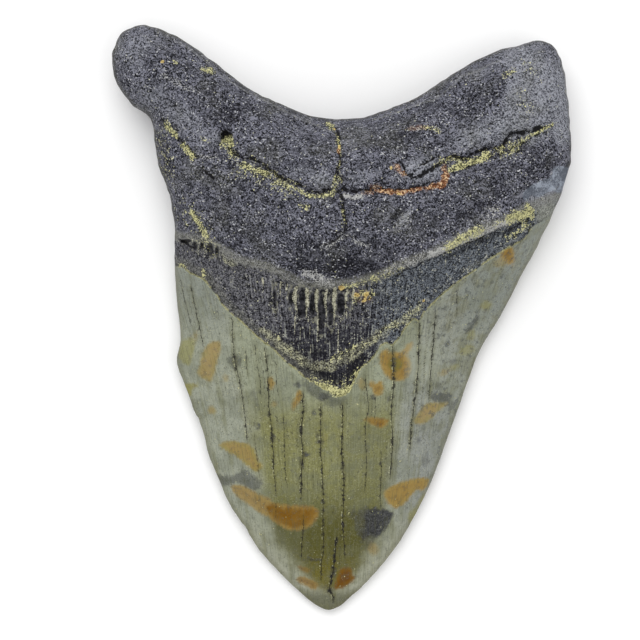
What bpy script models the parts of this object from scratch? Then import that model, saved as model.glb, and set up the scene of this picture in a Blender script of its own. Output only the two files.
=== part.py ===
"""Megalodon tooth, a complete fossil lying on its flat labial face.

One body: root with two lobes, bourlette (the smooth band below the root) and enamel crown, grown as
one piece. Metres, +Z up. The tip points to -Y, the root lobes to +Y, the convex lingual face is up.
The body is a loft: a grid is fitted into the outline between four level lines that run from one side
of the tooth to the other, and raised to the lingual and the labial surface.
"""

import math

import bmesh
import bpy
import numpy as np

# ---- driving dimensions, millimetres ----
HEIGHT = 120.5  # tip to the end of the longer root lobe, along Y
WIDTH = 94.0  # across the root lobes, along X
THICKNESS = 26.0  # at the root's lingual bulge
RIM = 0.6  # blunt, worn cutting edge
ENAMEL_STEP = 0.5  # enamel stands this far above the bourlette
FURROW_DEPTH = 1.5  # nutrient furrow across the root
FURROW_WIDTH = 1.7
GROOVE_DEPTH = 0.8  # short groove from the furrow up to the notch
GROOVE_WIDTH = 2.2
LABIAL_HOLLOW = 1.3  # the root's labial face is slightly hollow
FORAMEN_DIAMETER = 2.8
FORAMEN_DEPTH = 2.6
FORAMEN_AT = (-23.9, 37.9)  # X, Y

# ---- outline, seen from the lingual side, counter-clockwise from the left end of the rounded tip ----
TIP = [(-7.6, -57.4), (-5.0, -59.4), (-2.7, -60.2), (-0.5, -59.4)]
RIGHT_EDGE = [
    (1.8, -57.4), (4.4, -55.1), (8.8, -50.2), (12.5, -45.1), (15.2, -40.2), (17.7, -35.2),
    (19.7, -30.3), (21.5, -25.3), (23.3, -20.4), (25.0, -15.4), (26.8, -10.5), (28.7, -5.8),
    (31.9, -0.6), (34.6, 4.3), (37.1, 9.3), (39.7, 14.1), (42.1, 19.1), (43.6, 22.5),
    (45.8, 28.6), (46.9, 33.6), (46.6, 40.0), (46.1, 45.5), (45.4, 50.9),
]
ROOT_TOP = [
    (43.7, 55.4), (41.5, 56.9), (39.2, 57.1), (34.3, 55.8), (29.4, 54.2), (24.4, 51.5),
    (19.5, 48.2), (14.5, 45.3), (9.6, 43.3), (4.6, 41.5), (-0.3, 41.1), (-5.3, 41.6),
    (-10.2, 43.1), (-17.6, 46.6), (-25.0, 51.7), (-30.0, 55.6), (-34.9, 58.7), (-39.9, 60.2),
    (-42.8, 60.0),
]
LEFT_EDGE = [
    (-45.0, 58.7), (-46.2, 56.6), (-47.1, 54.4), (-47.0, 51.7), (-46.0, 48.0), (-43.0, 44.2),
    (-39.9, 41.7), (-38.7, 39.4), (-38.4, 35.8), (-37.5, 31.3), (-35.7, 26.6), (-34.7, 21.6),
    (-34.4, 16.7), (-34.5, 11.7), (-34.1, 4.3), (-33.3, -3.1), (-33.6, -5.8), (-34.1, -8.0),
    (-33.7, -10.5), (-32.5, -13.2), (-30.8, -18.1), (-28.7, -23.1), (-27.6, -27.8),
    (-25.5, -32.8), (-23.5, -37.7), (-20.4, -42.6), (-17.1, -47.6), (-12.8, -52.5),
]

# ---- level lines on the lingual face, left to right ----
ENAMEL_LINE = [
    (-34.4, 11.4), (-30.6, 9.6), (-26.3, 5.4), (-22.8, 0.8), (-16.4, -4.5), (-11.4, -9.1),
    (-7.3, -12.2), (-1.3, -15.7), (0.9, -15.0), (4.2, -10.5), (7.5, -5.8), (11.0, -2.9),
    (18.2, 2.9), (26.9, 10.5), (32.9, 14.0), (43.4, 21.9),
]
ROOT_LINE = [
    (-34.4, 16.5), (-28.1, 15.2), (-21.1, 11.5), (-13.1, 8.9), (-6.6, 6.2), (0.9, 6.4),
    (8.3, 8.4), (13.5, 10.9), (20.3, 13.6), (26.9, 17.1), (34.7, 20.0), (44.1, 24.2),
]
FURROW_LINE = [
    (-38.4, 35.8), (-31.2, 37.0), (-23.8, 35.4), (-18.0, 33.0), (-12.9, 29.7), (-6.7, 26.6),
    (-0.3, 26.8), (6.5, 27.2), (13.5, 27.0), (18.2, 29.0), (23.0, 32.6), (32.9, 35.6),
    (46.8, 39.6),
]

# ---- grid: columns across the tooth, rows in the four bands from the tip to the root top ----
COLUMNS = 44
ROWS = (19, 5, 7, 9)

# ---- heights along the middle of the tooth: (Y, value), millimetres ----
CREST = [
    (-60, 2.6), (-56, 4.0), (-50, 6.3), (-40, 8.9), (-30, 11.0), (-20, 12.9), (-12, 14.8),
    (-4, 17.4), (4, 21.0), (12, 24.3), (20, 26.0), (27, 25.6), (34, 22.6), (40, 18.6),
    (48, 15.5), (61, 12.5),
]  # lingual surface
FLANK = [
    (-60, 2.6), (-56, 4.0), (-50, 6.3), (-40, 8.9), (-30, 11.0), (-20, 12.6), (-12, 13.6),
    (-4, 14.6), (4, 15.6), (12, 16.4), (20, 16.6), (34, 16.2), (48, 15.5), (61, 12.5),
]  # the same towards the sides
CREST_WIDTH = [(-20, 15), (0, 18), (20, 22), (40, 20)]
EDGE_HEIGHT = [(-60, 1.2), (-45, 1.9), (-10, 2.6), (10, 3.2), (22, 5.0), (32, 6.6), (61, 6.2)]
LINGUAL_FALL = [
    (-60, 3.2), (-55, 5.5), (-50, 8.0), (-40, 13.0), (-30, 17.5), (-20, 21.0), (-10, 24.0),
    (0, 24.5), (10, 20.0), (20, 14.5), (32, 11.0), (61, 10.0),
]  # width of the lingual slope down to the edge
LABIAL_FALL = [(-60, 3.0), (-50, 6.0), (-35, 11.0), (0, 15.0), (20, 11.0), (35, 8.0), (61, 7.5)]
ROUNDNESS = [(-60, 0.9), (-15, 0.9), (5, 0.75), (18, 0.6), (32, 0.5), (61, 0.5)]  # 1 wedge, 0.5 oval


def lookup(table, y):
    """Smooth value of a (Y, value) table at y."""
    ys = [p[0] for p in table]
    if y <= ys[0]:
        return table[0][1]
    if y >= ys[-1]:
        return table[-1][1]
    i = max(k for k in range(len(ys) - 1) if ys[k] <= y)

    def slope(k):
        if k == 0 or k == len(table) - 1:
            return 0.0
        return (table[k + 1][1] - table[k - 1][1]) / (ys[k + 1] - ys[k - 1])

    gap = ys[i + 1] - ys[i]
    t = (y - ys[i]) / gap
    a, b = table[i][1], table[i + 1][1]
    return (
        a * (1 + 2 * t) * (1 - t) ** 2
        + slope(i) * gap * t * (1 - t) ** 2
        + b * t * t * (3 - 2 * t)
        + slope(i + 1) * gap * t * t * (t - 1)
    )


def curve(points, closed=False, steps=12):
    """Smooth polyline through the points."""
    p = np.array(points, dtype=float)
    n = len(p)
    if closed:
        before, after, last = np.roll(p, 1, 0), np.roll(p, -1, 0), n
        beyond = np.roll(p, -2, 0)
    else:
        full = np.vstack([2 * p[0] - p[1], p, 2 * p[-1] - p[-2]])
        before, p, after, beyond, last = full[:-3], full[1:-2], full[2:-1], full[3:], n - 1
    out = []
    for i in range(last):
        for k in range(steps):
            t = k / steps
            out.append(
                p[i]
                + 0.5 * t * (after[i] - before[i])
                + t * t * (before[i] - 2.5 * p[i] + 2 * after[i] - 0.5 * beyond[i])
                + t**3 * (1.5 * p[i] - 1.5 * after[i] + 0.5 * beyond[i] - 0.5 * before[i])
            )
    if not closed:
        out.append(np.array(points[-1], dtype=float))
    return np.array(out)


def walk(line, fractions):
    """Points at the given fractions of a polyline's length."""
    run = np.concatenate([[0], np.cumsum(np.hypot(*np.diff(line, axis=0).T))])
    at = np.array(fractions) * run[-1]
    return np.column_stack([np.interp(at, run, line[:, 0]), np.interp(at, run, line[:, 1])])


def nearest(line, point):
    return int(np.argmin(np.hypot(line[:, 0] - point[0], line[:, 1] - point[1])))


def coons(low, high, left, right):
    """Grid of points between four joined sides; rows go from low to high."""
    rows, columns = len(left), len(low)
    v = np.linspace(0, 1, rows)
    v = (np.hypot(*(left - left[0]).T) / np.hypot(*(left[-1] - left[0])) + v) / 2
    u = np.hypot(*np.diff(low, axis=0).T)
    u = np.concatenate([[0], np.cumsum(u)]) / u.sum()
    grid = np.empty((rows, columns, 2))
    for i in range(rows):
        for j in range(columns):
            a, b = u[j], v[i]
            grid[i, j] = (
                (1 - b) * low[j]
                + b * high[j]
                + (1 - a) * left[i]
                + a * right[i]
                - (1 - a) * (1 - b) * low[0]
                - a * (1 - b) * low[-1]
                - (1 - a) * b * high[0]
                - a * b * high[-1]
            )
    return grid


def plan():
    """The outline polyline and the grid of plan positions, rows from the tip to the root top."""
    outline = curve(TIP + RIGHT_EDGE + ROOT_TOP + LEFT_EDGE, closed=True)
    right = outline[len(TIP) * 12 : (len(TIP) + len(RIGHT_EDGE)) * 12 + 1]
    top_end = (len(TIP) + len(RIGHT_EDGE) + len(ROOT_TOP)) * 12
    left = np.vstack([outline[top_end:], outline[:1]])[::-1]
    tip = outline[: len(TIP) * 12 + 1]
    top = outline[(len(TIP) + len(RIGHT_EDGE)) * 12 : top_end + 1][::-1]

    even = np.linspace(0, 1, COLUMNS + 1)
    across = 0.45 * even + 0.55 * (1 - np.cos(math.pi * even)) / 2  # closer together at the edges
    lines = [walk(tip, even)]
    cuts = [(0, 0)]
    for level in (ENAMEL_LINE, ROOT_LINE, FURROW_LINE):
        i, j = nearest(left, level[0]), nearest(right, level[-1])
        cuts.append((i, j))
        lines.append(walk(curve([left[i]] + level[1:-1] + [right[j]]), across))
    cuts.append((len(left) - 1, len(right) - 1))
    lines.append(walk(top, across))

    bands = []
    for k, rows in enumerate(ROWS):
        v = np.linspace(0, 1, rows + 1)
        if k == 0:
            v = 0.6 * v + 0.4 * v**2  # closer together at the tip
        if k == 3:
            v = 1 - (0.45 * (1 - v) + 0.55 * (1 - v) ** 2)  # and at the root top
        (i0, j0), (i1, j1) = cuts[k], cuts[k + 1]
        band = coons(
            lines[k], lines[k + 1], walk(left[i0 : i1 + 1], v), walk(right[j0 : j1 + 1], v)
        )
        bands.append(band if k == 0 else band[1:])
    return outline, np.vstack(bands)


def distance(line, points, closed=True):
    """Distance from each point to a polyline."""
    a = line
    b = np.roll(line, -1, 0)
    if not closed:
        a, b = line[:-1], line[1:]
    ab = b - a
    length = np.maximum((ab**2).sum(1), 1e-12)
    out = []
    for p in points:
        t = np.clip(((p - a) * ab).sum(1) / length, 0, 1)
        foot = a + ab * t[:, None]
        out.append(np.hypot(foot[:, 0] - p[0], foot[:, 1] - p[1]).min())
    return np.array(out)


def smooth(low, high, x):
    t = min(1.0, max(0.0, (x - low) / (high - low)))
    return t * t * (3 - 2 * t)


def heights(points, row_of, edge_gap, furrow_gap, groove_gap):
    """Lingual and labial heights at the plan points, millimetres."""
    lingual, labial = [], []
    enamel_rows, bourlette_rows = ROWS[0], ROWS[0] + ROWS[1]
    for (x, y), row, d, fu, gr in zip(points, row_of, edge_gap, furrow_gap, groove_gap):
        rim = lookup(EDGE_HEIGHT, y)
        middle = math.exp(-(((x - 0.5) / lookup(CREST_WIDTH, y)) ** 2))
        top = lookup(FLANK, y) + (lookup(CREST, y) - lookup(FLANK, y)) * middle
        q = min(1.0, d / lookup(LINGUAL_FALL, y))
        rise = (q * (2 - q)) ** lookup(ROUNDNESS, y)
        z = rim + RIM / 2 + (top - rim - RIM / 2) * rise
        inland = smooth(0.5, 4.0, d)
        if enamel_rows < row <= bourlette_rows:
            z -= ENAMEL_STEP * inland * (1.0 if row < bourlette_rows else 0.4)
        z -= FURROW_DEPTH * math.exp(-((fu / FURROW_WIDTH) ** 2)) * inland
        z -= GROOVE_DEPTH * math.exp(-((gr / GROOVE_WIDTH) ** 2)) * inland
        lingual.append(z)
        q = min(1.0, d / lookup(LABIAL_FALL, y))
        fall = (q * (2 - q)) ** lookup(ROUNDNESS, y)
        hollow = math.exp(-(((x - 2) / 26) ** 2) - ((y - 21) / 13) ** 2)
        labial.append((rim - RIM / 2) * (1 - fall) + max(0.0, LABIAL_HOLLOW * (hollow * 1.25 - 0.25)))
    return lingual, labial


def surface(grid, values, name):
    """A Blender grid moved to the plan positions and heights."""
    bm = bmesh.new()
    rows, columns = grid.shape[:2]
    bmesh.ops.create_grid(bm, x_segments=columns - 1, y_segments=rows - 1, size=1)
    bm.verts.ensure_lookup_table()
    order = sorted(range(len(bm.verts)), key=lambda i: (round(bm.verts[i].co.y, 5), bm.verts[i].co.x))
    for index, place in zip(order, range(len(order))):
        i, j = divmod(place, columns)
        bm.verts[index].co = (grid[i, j, 0], grid[i, j, 1], values[place])
    mesh = bpy.data.meshes.new(name)
    bm.to_mesh(mesh)
    bm.free()
    return mesh


def tooth_body():
    """The closed tooth, millimetres."""
    outline, grid = plan()
    rows, columns = grid.shape[:2]
    points = grid.reshape(-1, 2)
    row_of = np.repeat(np.arange(rows), columns)
    edge_gap = distance(outline, points)
    furrow = curve(FURROW_LINE)
    furrow = furrow[(furrow[:, 0] > FORAMEN_AT[0]) & (furrow[:, 0] < 46)]
    furrow_gap = distance(furrow, points, closed=False)
    groove = curve([(-2.0, 41.0), (-0.8, 37.0), (0.0, 31.5), (-0.3, 26.8), (0.5, 20.5), (0.6, 17.0)])
    groove_gap = distance(groove, points, closed=False)
    lingual, labial = heights(points, row_of, edge_gap, furrow_gap, groove_gap)

    bm = bmesh.new()
    bm.from_mesh(surface(grid, lingual, "lingual_face"))
    under = surface(grid, labial, "labial_face")
    before = len(bm.faces)
    bm.from_mesh(under)
    bm.faces.ensure_lookup_table()
    bmesh.ops.reverse_faces(bm, faces=bm.faces[before:])
    rim_edges = [e for e in bm.edges if e.is_boundary]
    bmesh.ops.bridge_loops(bm, edges=rim_edges)
    bmesh.ops.triangulate(bm, faces=bm.faces[:], quad_method="SHORT_EDGE")
    bmesh.ops.recalc_face_normals(bm, faces=bm.faces[:])

    # fit the body to its driving dimensions, resting on z = 0
    co = np.array([v.co[:] for v in bm.verts])
    low, high = co.min(0), co.max(0)
    size = np.array([WIDTH, HEIGHT, THICKNESS])
    scale = size / (high - low)
    for v in bm.verts:
        v.co.x = (v.co.x - (low[0] + high[0]) / 2) * scale[0]
        v.co.y = (v.co.y - (low[1] + high[1]) / 2) * scale[1]
        v.co.z = (v.co.z - low[2]) * scale[2]
    return bm


def drill_foramen(tooth, cutters):
    """The nutrient foramen at the left end of the furrow, a short round pit that narrows downwards."""
    x, y = FORAMEN_AT[0] * 0.001, FORAMEN_AT[1] * 0.001
    near = [v.co.z for v in tooth.data.vertices if math.hypot(v.co.x - x, v.co.y - y) < 0.002]
    bpy.ops.mesh.primitive_cone_add(
        vertices=20,
        radius1=FORAMEN_DIAMETER * 0.35e-3,
        radius2=FORAMEN_DIAMETER * 0.65e-3,
        depth=FORAMEN_DEPTH * 2e-3,
        location=(x, y, max(near)),
    )
    cutter = bpy.context.object
    cutter.name = "foramen_cutter"
    for holder in list(cutter.users_collection):
        holder.objects.unlink(cutter)
    cutters.objects.link(cutter)
    cutter.hide_render = True
    cutter.display_type = "WIRE"
    cut = tooth.modifiers.new("foramen", "BOOLEAN")
    cut.operation = "DIFFERENCE"
    cut.solver = "EXACT"
    cut.object = cutter


def fossil_material():
    material = bpy.data.materials.new("fossil")
    material.use_nodes = True
    shader = material.node_tree.nodes["Principled BSDF"]
    shader.inputs["Base Color"].default_value = (0.14, 0.14, 0.12, 1)
    shader.inputs["Roughness"].default_value = 0.55
    shader.inputs["Metallic"].default_value = 0.0
    return material


def main():
    for old in list(bpy.data.objects):
        bpy.data.objects.remove(old, do_unlink=True)
    collection = bpy.data.collections.new("megalodon_tooth")
    bpy.context.scene.collection.children.link(collection)
    cutters = bpy.data.collections.new("cutters")
    bpy.context.scene.collection.children.link(cutters)

    bm = tooth_body()
    bmesh.ops.scale(bm, vec=(0.001, 0.001, 0.001), verts=bm.verts[:])
    mesh = bpy.data.meshes.new("megalodon_tooth")
    bm.to_mesh(mesh)
    bm.free()
    tooth = bpy.data.objects.new("megalodon_tooth", mesh)
    collection.objects.link(tooth)
    drill_foramen(tooth, cutters)
    mesh.materials.append(fossil_material())


main()
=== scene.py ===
"""A fossil megalodon tooth lying on its labial face, on a pale studio floor, seen from above.

Sizes in the first half are millimetres in the tooth's own frame: tip to -Y, root lobes to +Y, the
convex lingual face up. The tooth is one closed skin: a fine grid for the lingual face, a coarser one
for the labial face and a narrow rim between them. What its finish needs to know about a place, such
as how far it is from the enamel's edge, is kept in the skin's attributes.
"""

import math

import bpy
import numpy as np
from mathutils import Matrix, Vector


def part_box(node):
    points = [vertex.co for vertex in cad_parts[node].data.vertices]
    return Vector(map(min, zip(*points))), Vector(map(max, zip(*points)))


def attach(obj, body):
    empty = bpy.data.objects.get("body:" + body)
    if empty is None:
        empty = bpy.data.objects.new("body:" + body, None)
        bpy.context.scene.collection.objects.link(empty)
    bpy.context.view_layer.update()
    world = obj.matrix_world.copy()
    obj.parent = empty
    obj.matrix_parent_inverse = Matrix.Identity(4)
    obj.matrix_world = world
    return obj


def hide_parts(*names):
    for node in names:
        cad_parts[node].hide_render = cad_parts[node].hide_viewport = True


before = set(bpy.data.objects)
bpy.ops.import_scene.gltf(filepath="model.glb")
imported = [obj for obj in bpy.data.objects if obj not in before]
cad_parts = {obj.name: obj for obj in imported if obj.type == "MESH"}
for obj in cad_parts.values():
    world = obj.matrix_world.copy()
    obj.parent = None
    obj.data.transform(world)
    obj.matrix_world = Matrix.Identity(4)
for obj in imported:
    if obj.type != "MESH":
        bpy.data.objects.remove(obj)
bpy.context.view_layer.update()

MM = 0.001  # a millimetre, in the scene's metres

# ---- how finely the skin is made ----
COLUMNS = 256
ROWS = (120, 56, 60, 64)  # crown, bourlette, root below the furrow, root above it; the labial face has half
CURVE_STEPS = 12  # steps between two listed points of the outline or a crack
FINE_STEPS = 6  # the same on the other lines of the relief
COARSE_STEPS = 4  # the same on stains and sediment
TINY = 1e-12  # keeps a step of no length from dividing by zero

# ---- the unfolded map: its margin, and the width of each face and of the rim between them ----
MAP_MARGIN = 0.005
MAP_HEIGHT = 0.99
FACE_MAP_WIDTH = 0.483
RIM_MAP = (0.497, 0.503)

# ---- single sizes ----
RIM = 0.5  # height of the narrow rim between the two faces
CREST_X = 0.5  # where the lingual face is highest
GROWTH_FAN = 0.0085  # how much the growth lines run apart, per mm towards the root
LAYER = 0.14  # thickness of each layer that has flaked off
STAIN_REACH = 2.0  # how far out a stain's depth is still told
CRACK_REACH = 9.0  # how far from a crack its distance is told

# ---- outline, counter-clockwise from the left end of the rounded tip; all places are (X, Y) ----
TIP = [(-7.6, -57.4), (-5.0, -59.4), (-2.7, -60.2), (-0.5, -59.4)]
RIGHT_EDGE = [
    (1.8, -57.4), (4.4, -55.1), (8.8, -50.2), (12.5, -45.1), (15.2, -40.2), (17.7, -35.2), (19.7, -30.3),
    (21.5, -25.3), (23.3, -20.4), (25.0, -15.4), (26.8, -10.5), (28.7, -5.8), (31.9, -0.6), (34.6, 4.3),
    (37.1, 9.3), (39.7, 14.1), (42.1, 19.1), (43.6, 22.5), (45.8, 28.6), (46.9, 33.6), (46.6, 40.0),
    (46.1, 45.5), (45.4, 50.9),
]
ROOT_TOP = [
    (43.7, 55.4), (41.5, 56.9), (39.2, 57.1), (34.3, 55.8), (29.4, 54.2), (24.4, 51.5), (19.5, 48.2),
    (14.5, 45.3), (9.6, 43.3), (4.6, 41.5), (-0.3, 41.1), (-5.3, 41.6), (-10.2, 43.1), (-17.6, 46.6),
    (-25.0, 51.7), (-30.0, 55.6), (-34.9, 58.7), (-39.9, 60.2), (-42.8, 60.0),
]
LEFT_EDGE = [
    (-45.0, 58.7), (-46.2, 56.6), (-47.1, 54.4), (-47.0, 51.7), (-46.0, 48.0), (-43.0, 44.2), (-39.9, 41.7),
    (-38.7, 39.4), (-38.4, 35.8), (-37.5, 31.3), (-35.7, 26.6), (-34.7, 21.6), (-34.4, 16.7), (-34.5, 11.7),
    (-34.1, 4.3), (-33.3, -3.1), (-33.6, -5.8), (-34.1, -8.0), (-33.7, -10.5), (-32.5, -13.2),
    (-30.8, -18.1), (-28.7, -23.1), (-27.6, -27.8), (-25.5, -32.8), (-23.5, -37.7), (-20.4, -42.6),
    (-17.1, -47.6), (-12.8, -52.5),
]

# ---- lines from the left side to the right side: the enamel's upper edge, the root's lower edge, the
# nutrient furrow, and the enamel's upper edge on the labial face ----
ENAMEL_LINE = [
    (-34.4, 11.1), (-32.6, 10.4), (-30.2, 9.6), (-27.8, 7.9), (-25.8, 5.3), (-24.2, 3.0), (-22.4, 0.8),
    (-19.3, -1.6), (-16.1, -4.4), (-13.6, -6.6), (-11.2, -8.9), (-8.9, -10.4), (-7.2, -11.9), (-4.6, -13.7),
    (-1.3, -15.3), (0.8, -14.6), (2.8, -12.1), (4.0, -10.2), (7.2, -5.6), (10.6, -2.8), (14.0, 0.2),
    (17.6, 2.8), (20.6, 6.4), (26.1, 10.2), (32.1, 13.7), (36.0, 16.4), (38.0, 19.0), (43.4, 21.9),
]
ROOT_LINE = [
    (-34.4, 16.5), (-27.5, 14.8), (-20.5, 11.1), (-15.9, 9.9), (-12.7, 8.6), (-9.6, 7.0), (-6.5, 6.0),
    (-1.8, 6.2), (0.7, 6.3), (2.9, 6.7), (7.8, 8.1), (11.2, 9.9), (12.8, 10.5), (19.4, 13.1), (25.9, 16.5),
    (33.7, 19.5), (37.0, 21.7), (44.1, 24.4),
]
FURROW_LINE = [
    (-38.4, 35.8), (-30.4, 35.9), (-23.1, 34.1), (-20.5, 32.4), (-17.5, 32.0), (-15.1, 30.5), (-12.5, 28.2),
    (-9.3, 27.1), (-6.6, 25.3), (-1.4, 25.3), (6.0, 25.9), (12.7, 25.4), (18.2, 27.4), (22.1, 31.0),
    (27.5, 32.2), (31.8, 34.2), (46.8, 39.6),
]
LABIAL_LINE = [
    (-36, 11.0), (-33.9, 11.7), (-29.6, 14.6), (-25.0, 16.9), (-18.8, 16.3), (-10.6, 13.8), (-1.3, 11.7),
    (7.9, 13.2), (18.2, 16.3), (28.5, 19.2), (36.8, 21.0), (43.6, 22.0), (46, 22.0),
]

# ---- (Y, value) tables of the smooth shape ----
# height along the middle
CREST = [
    (-60, 2.6), (-56, 4.0), (-50, 6.3), (-40, 8.9), (-30, 11.0), (-20, 12.9), (-12, 14.7), (-4, 16.9),
    (3, 19.3), (7, 21.4), (12, 24.6), (19, 26.0), (26, 25.7), (34, 22.8), (40, 18.6), (48, 15.5),
    (61, 12.5),
]
# height beside the middle
FLANK = [
    (-60, 2.6), (-56, 4.0), (-50, 6.3), (-40, 8.9), (-30, 11.0), (-20, 12.6), (-12, 13.6), (-4, 14.6),
    (4, 15.6), (12, 16.4), (20, 16.6), (34, 16.2), (48, 15.5), (61, 12.5),
]
# half width of the middle's swell
CREST_WIDTH = [(-20, 15), (0, 18), (20, 22), (40, 20)]
# height of the rim's middle above the floor
EDGE_HEIGHT = [(-60, 1.2), (-45, 1.9), (-10, 2.6), (10, 3.2), (22, 5.0), (32, 6.6), (61, 6.2)]
# how far in from the edge the lingual face is at its full height
LINGUAL_FALL = [
    (-60, 3.2), (-55, 5.5), (-50, 8.0), (-40, 13.0), (-30, 17.5), (-20, 21.0), (-10, 24.0), (0, 24.5),
    (10, 20.0), (20, 14.5), (32, 11.0), (61, 10.0),
]
# how far in from the edge the labial face lies flat
LABIAL_FALL = [(-60, 3.0), (-50, 6.0), (-35, 11.0), (0, 15.0), (20, 11.0), (35, 8.0), (61, 7.5)]
# how the faces fall to the edge: smaller is blunter
ROUNDNESS = [(-60, 0.9), (-15, 0.9), (5, 0.75), (18, 0.6), (32, 0.5), (61, 0.5)]

# ---- tables of the enamel's finish ----
# (Y, width) of the paler margin along the cutting edges, partly the enamel's own colour and partly a
# painted reflection of the pale surroundings
MARGIN = [(-60, 1.8), (-50, 2.6), (-40, 3.9), (-30, 7.0), (-20, 9.0), (-8, 10.0), (12, 8.0)]
# (Y, width) of the soft step from that margin to the olive middle
MARGIN_BLEND = [(-55, 3.2), (-40, 4.8), (-25, 5.0)]
# (X, height) of the crust of sediment in the bourlette's point
CRUST = [(-5.5, 0.2), (-4.2, 0.7), (-2.6, 1.2), (-0.6, 1.4), (0.8, 0.9), (1.6, 0.3), (5.0, 0.1)]

# ---- the enamel's own ragged upper edge, from the left side to the right side ----
ENAMEL_EDGE = [
    (-35.8, 11.5), (-34.3, 11.1), (-32.3, 10.5), (-30.9, 9.5), (-28.2, 8.2), (-26.8, 6.6), (-25.3, 4.8),
    (-24.3, 3.1), (-22.5, 1.3), (-20.8, 0.0), (-19.1, -1.6), (-17.4, -3.2), (-15.7, -4.6), (-14.0, -5.8),
    (-12.6, -7.3), (-11.2, -8.7), (-9.4, -9.9), (-8.1, -11.2), (-6.7, -12.1), (-4.7, -13.3), (-3.3, -14.1),
    (-1.6, -15.2), (0.1, -15.3), (1.5, -14.1), (2.5, -11.9), (3.6, -9.8), (5.7, -8.1), (7.1, -6.0),
    (7.7, -5.2), (8.8, -4.6), (10.0, -5.2), (10.4, -4.6), (11.4, -3.7), (11.9, -2.5), (13.1, -1.0),
    (14.2, 0.2), (15.4, -0.2), (16.3, 1.4), (17.4, 2.6), (20.4, 5.5), (23.9, 8.1), (26.6, 10.0),
    (29.6, 12.2), (33.2, 14.4), (36.9, 16.5), (38.5, 18.9), (43.2, 21.8), (45.3, 22.7),
]

# ---- long drying cracks in the enamel: how dark, then points from the upper to the lower end ----
ENAMEL_CRACKS = [
    (0.55, [(-33.1, 8.4), (-32.6, 5.5), (-31.4, 0.6), (-30.7, -2.3)]),
    (0.75, [(-30.9, 7.3), (-29.9, 1.8), (-29.1, -1.7), (-28.4, -5.1), (-28.1, -6.5)]),
    (0.3, [(-25.4, 3.1), (-24.9, -0.3), (-24.6, -2.0)]),
    (0.9, [(-22.4, 0.7), (-22.1, -4.7), (-21.7, -8.6), (-20.7, -13.3), (-19.8, -19.9), (-19.2, -25.7)]),
    (0.4, [(-19.6, -5.9), (-19.1, -11.6), (-18.8, -12.6)]),
    (0.5, [(-17.6, -4.9), (-17.3, -8.3), (-16.7, -12.0), (-16.3, -16.9)]),
    (0.95, [(-15.7, -5.4), (-15.1, -10.8), (-14.9, -16.9), (-14.3, -23.1), (-13.9, -30.6), (-13.4, -36.8)]),
    (0.5, [(-13.4, -8.1), (-13.4, -11.5), (-13.0, -15.4), (-12.9, -16.8)]),
    (0.5, [(-12.0, -18.8), (-11.8, -23.1), (-11.7, -26.7), (-11.3, -33.7), (-10.6, -35.5)]),
    (0.4, [(-9.9, -11.5), (-9.8, -13.2)]),
    (0.35, [(-10.3, -21.1), (-9.8, -25.5)]),
    (1.1, [(-8.0, -14.2), (-8.0, -19.3), (-8.4, -23.0), (-8.0, -26.7), (-8.3, -30.5), (-8.3, -37.5)]),
    (0.9, [(-4.4, -16.3), (-4.4, -25.5), (-4.2, -29.2), (-3.9, -36.7), (-4.0, -42.2), (-3.8, -46.6),
           (-4.3, -50.5), (-4.3, -54.8)]),
    (0.4, [(-18.0, -22.9), (-17.7, -25.6), (-17.2, -28.8), (-16.7, -34.1)]),
    (0.25, [(-25.0, -12.1), (-24.3, -15.0), (-24.0, -17.0)]),
    (0.25, [(-23.0, -13.6), (-22.7, -16.3)]),
    (0.35, [(-5.9, -30.0), (-5.9, -36.5)]),
    (0.5, [(-13.5, -37.1), (-13.7, -41.7)]),
    (0.8, [(-8.0, -39.6), (-8.0, -43.4), (-8.3, -46.7), (-8.2, -50.0)]),
    (1.15, [(0.0, -16.6), (0.0, -22.0), (-0.2, -26.0), (0.0, -29.2), (0.3, -33.9), (0.1, -42.2),
            (0.4, -46.6), (0.6, -49.9)]),
    (1.4, [(-1.1, -44.1), (-1.3, -46.6), (-1.9, -51.8), (-2.6, -55.5), (-1.9, -57.2), (-1.8, -59.3)]),
    (0.3, [(-6.4, -46.0), (-6.0, -48.0)]),
    (0.35, [(-1.8, -38.0), (-1.9, -41.5)]),
    (0.7, [(4.5, -11.0), (4.8, -14.1), (5.3, -17.9), (4.6, -21.5), (4.9, -30.1), (4.4, -36.4)]),
    (0.4, [(3.3, -14.4), (3.5, -16.7)]),
    (0.4, [(4.2, -43.4), (4.4, -47.3)]),
    (0.5, [(6.6, -15.3), (6.6, -18.5), (6.3, -21.5)]),
    (0.7, [(7.8, -26.4), (7.9, -30.8), (7.8, -35.6), (7.7, -39.4)]),
    (1.0, [(10.0, -4.9), (10.1, -8.4), (10.4, -12.2), (9.9, -18.6), (10.2, -24.6), (9.6, -33.4)]),
    (1.0, [(15.4, -0.2), (15.4, -8.1), (15.1, -12.6), (14.6, -17.2), (13.9, -23.1), (13.9, -27.8)]),
    (0.8, [(18.7, 1.7), (18.5, -3.7), (18.3, -6.7), (18.0, -10.3), (17.5, -17.2)]),
    (0.4, [(23.0, 6.3), (23.2, 0.8), (23.7, -2.3)]),
    (0.3, [(27.0, 9.4), (27.0, 4.9)]),
]
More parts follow.
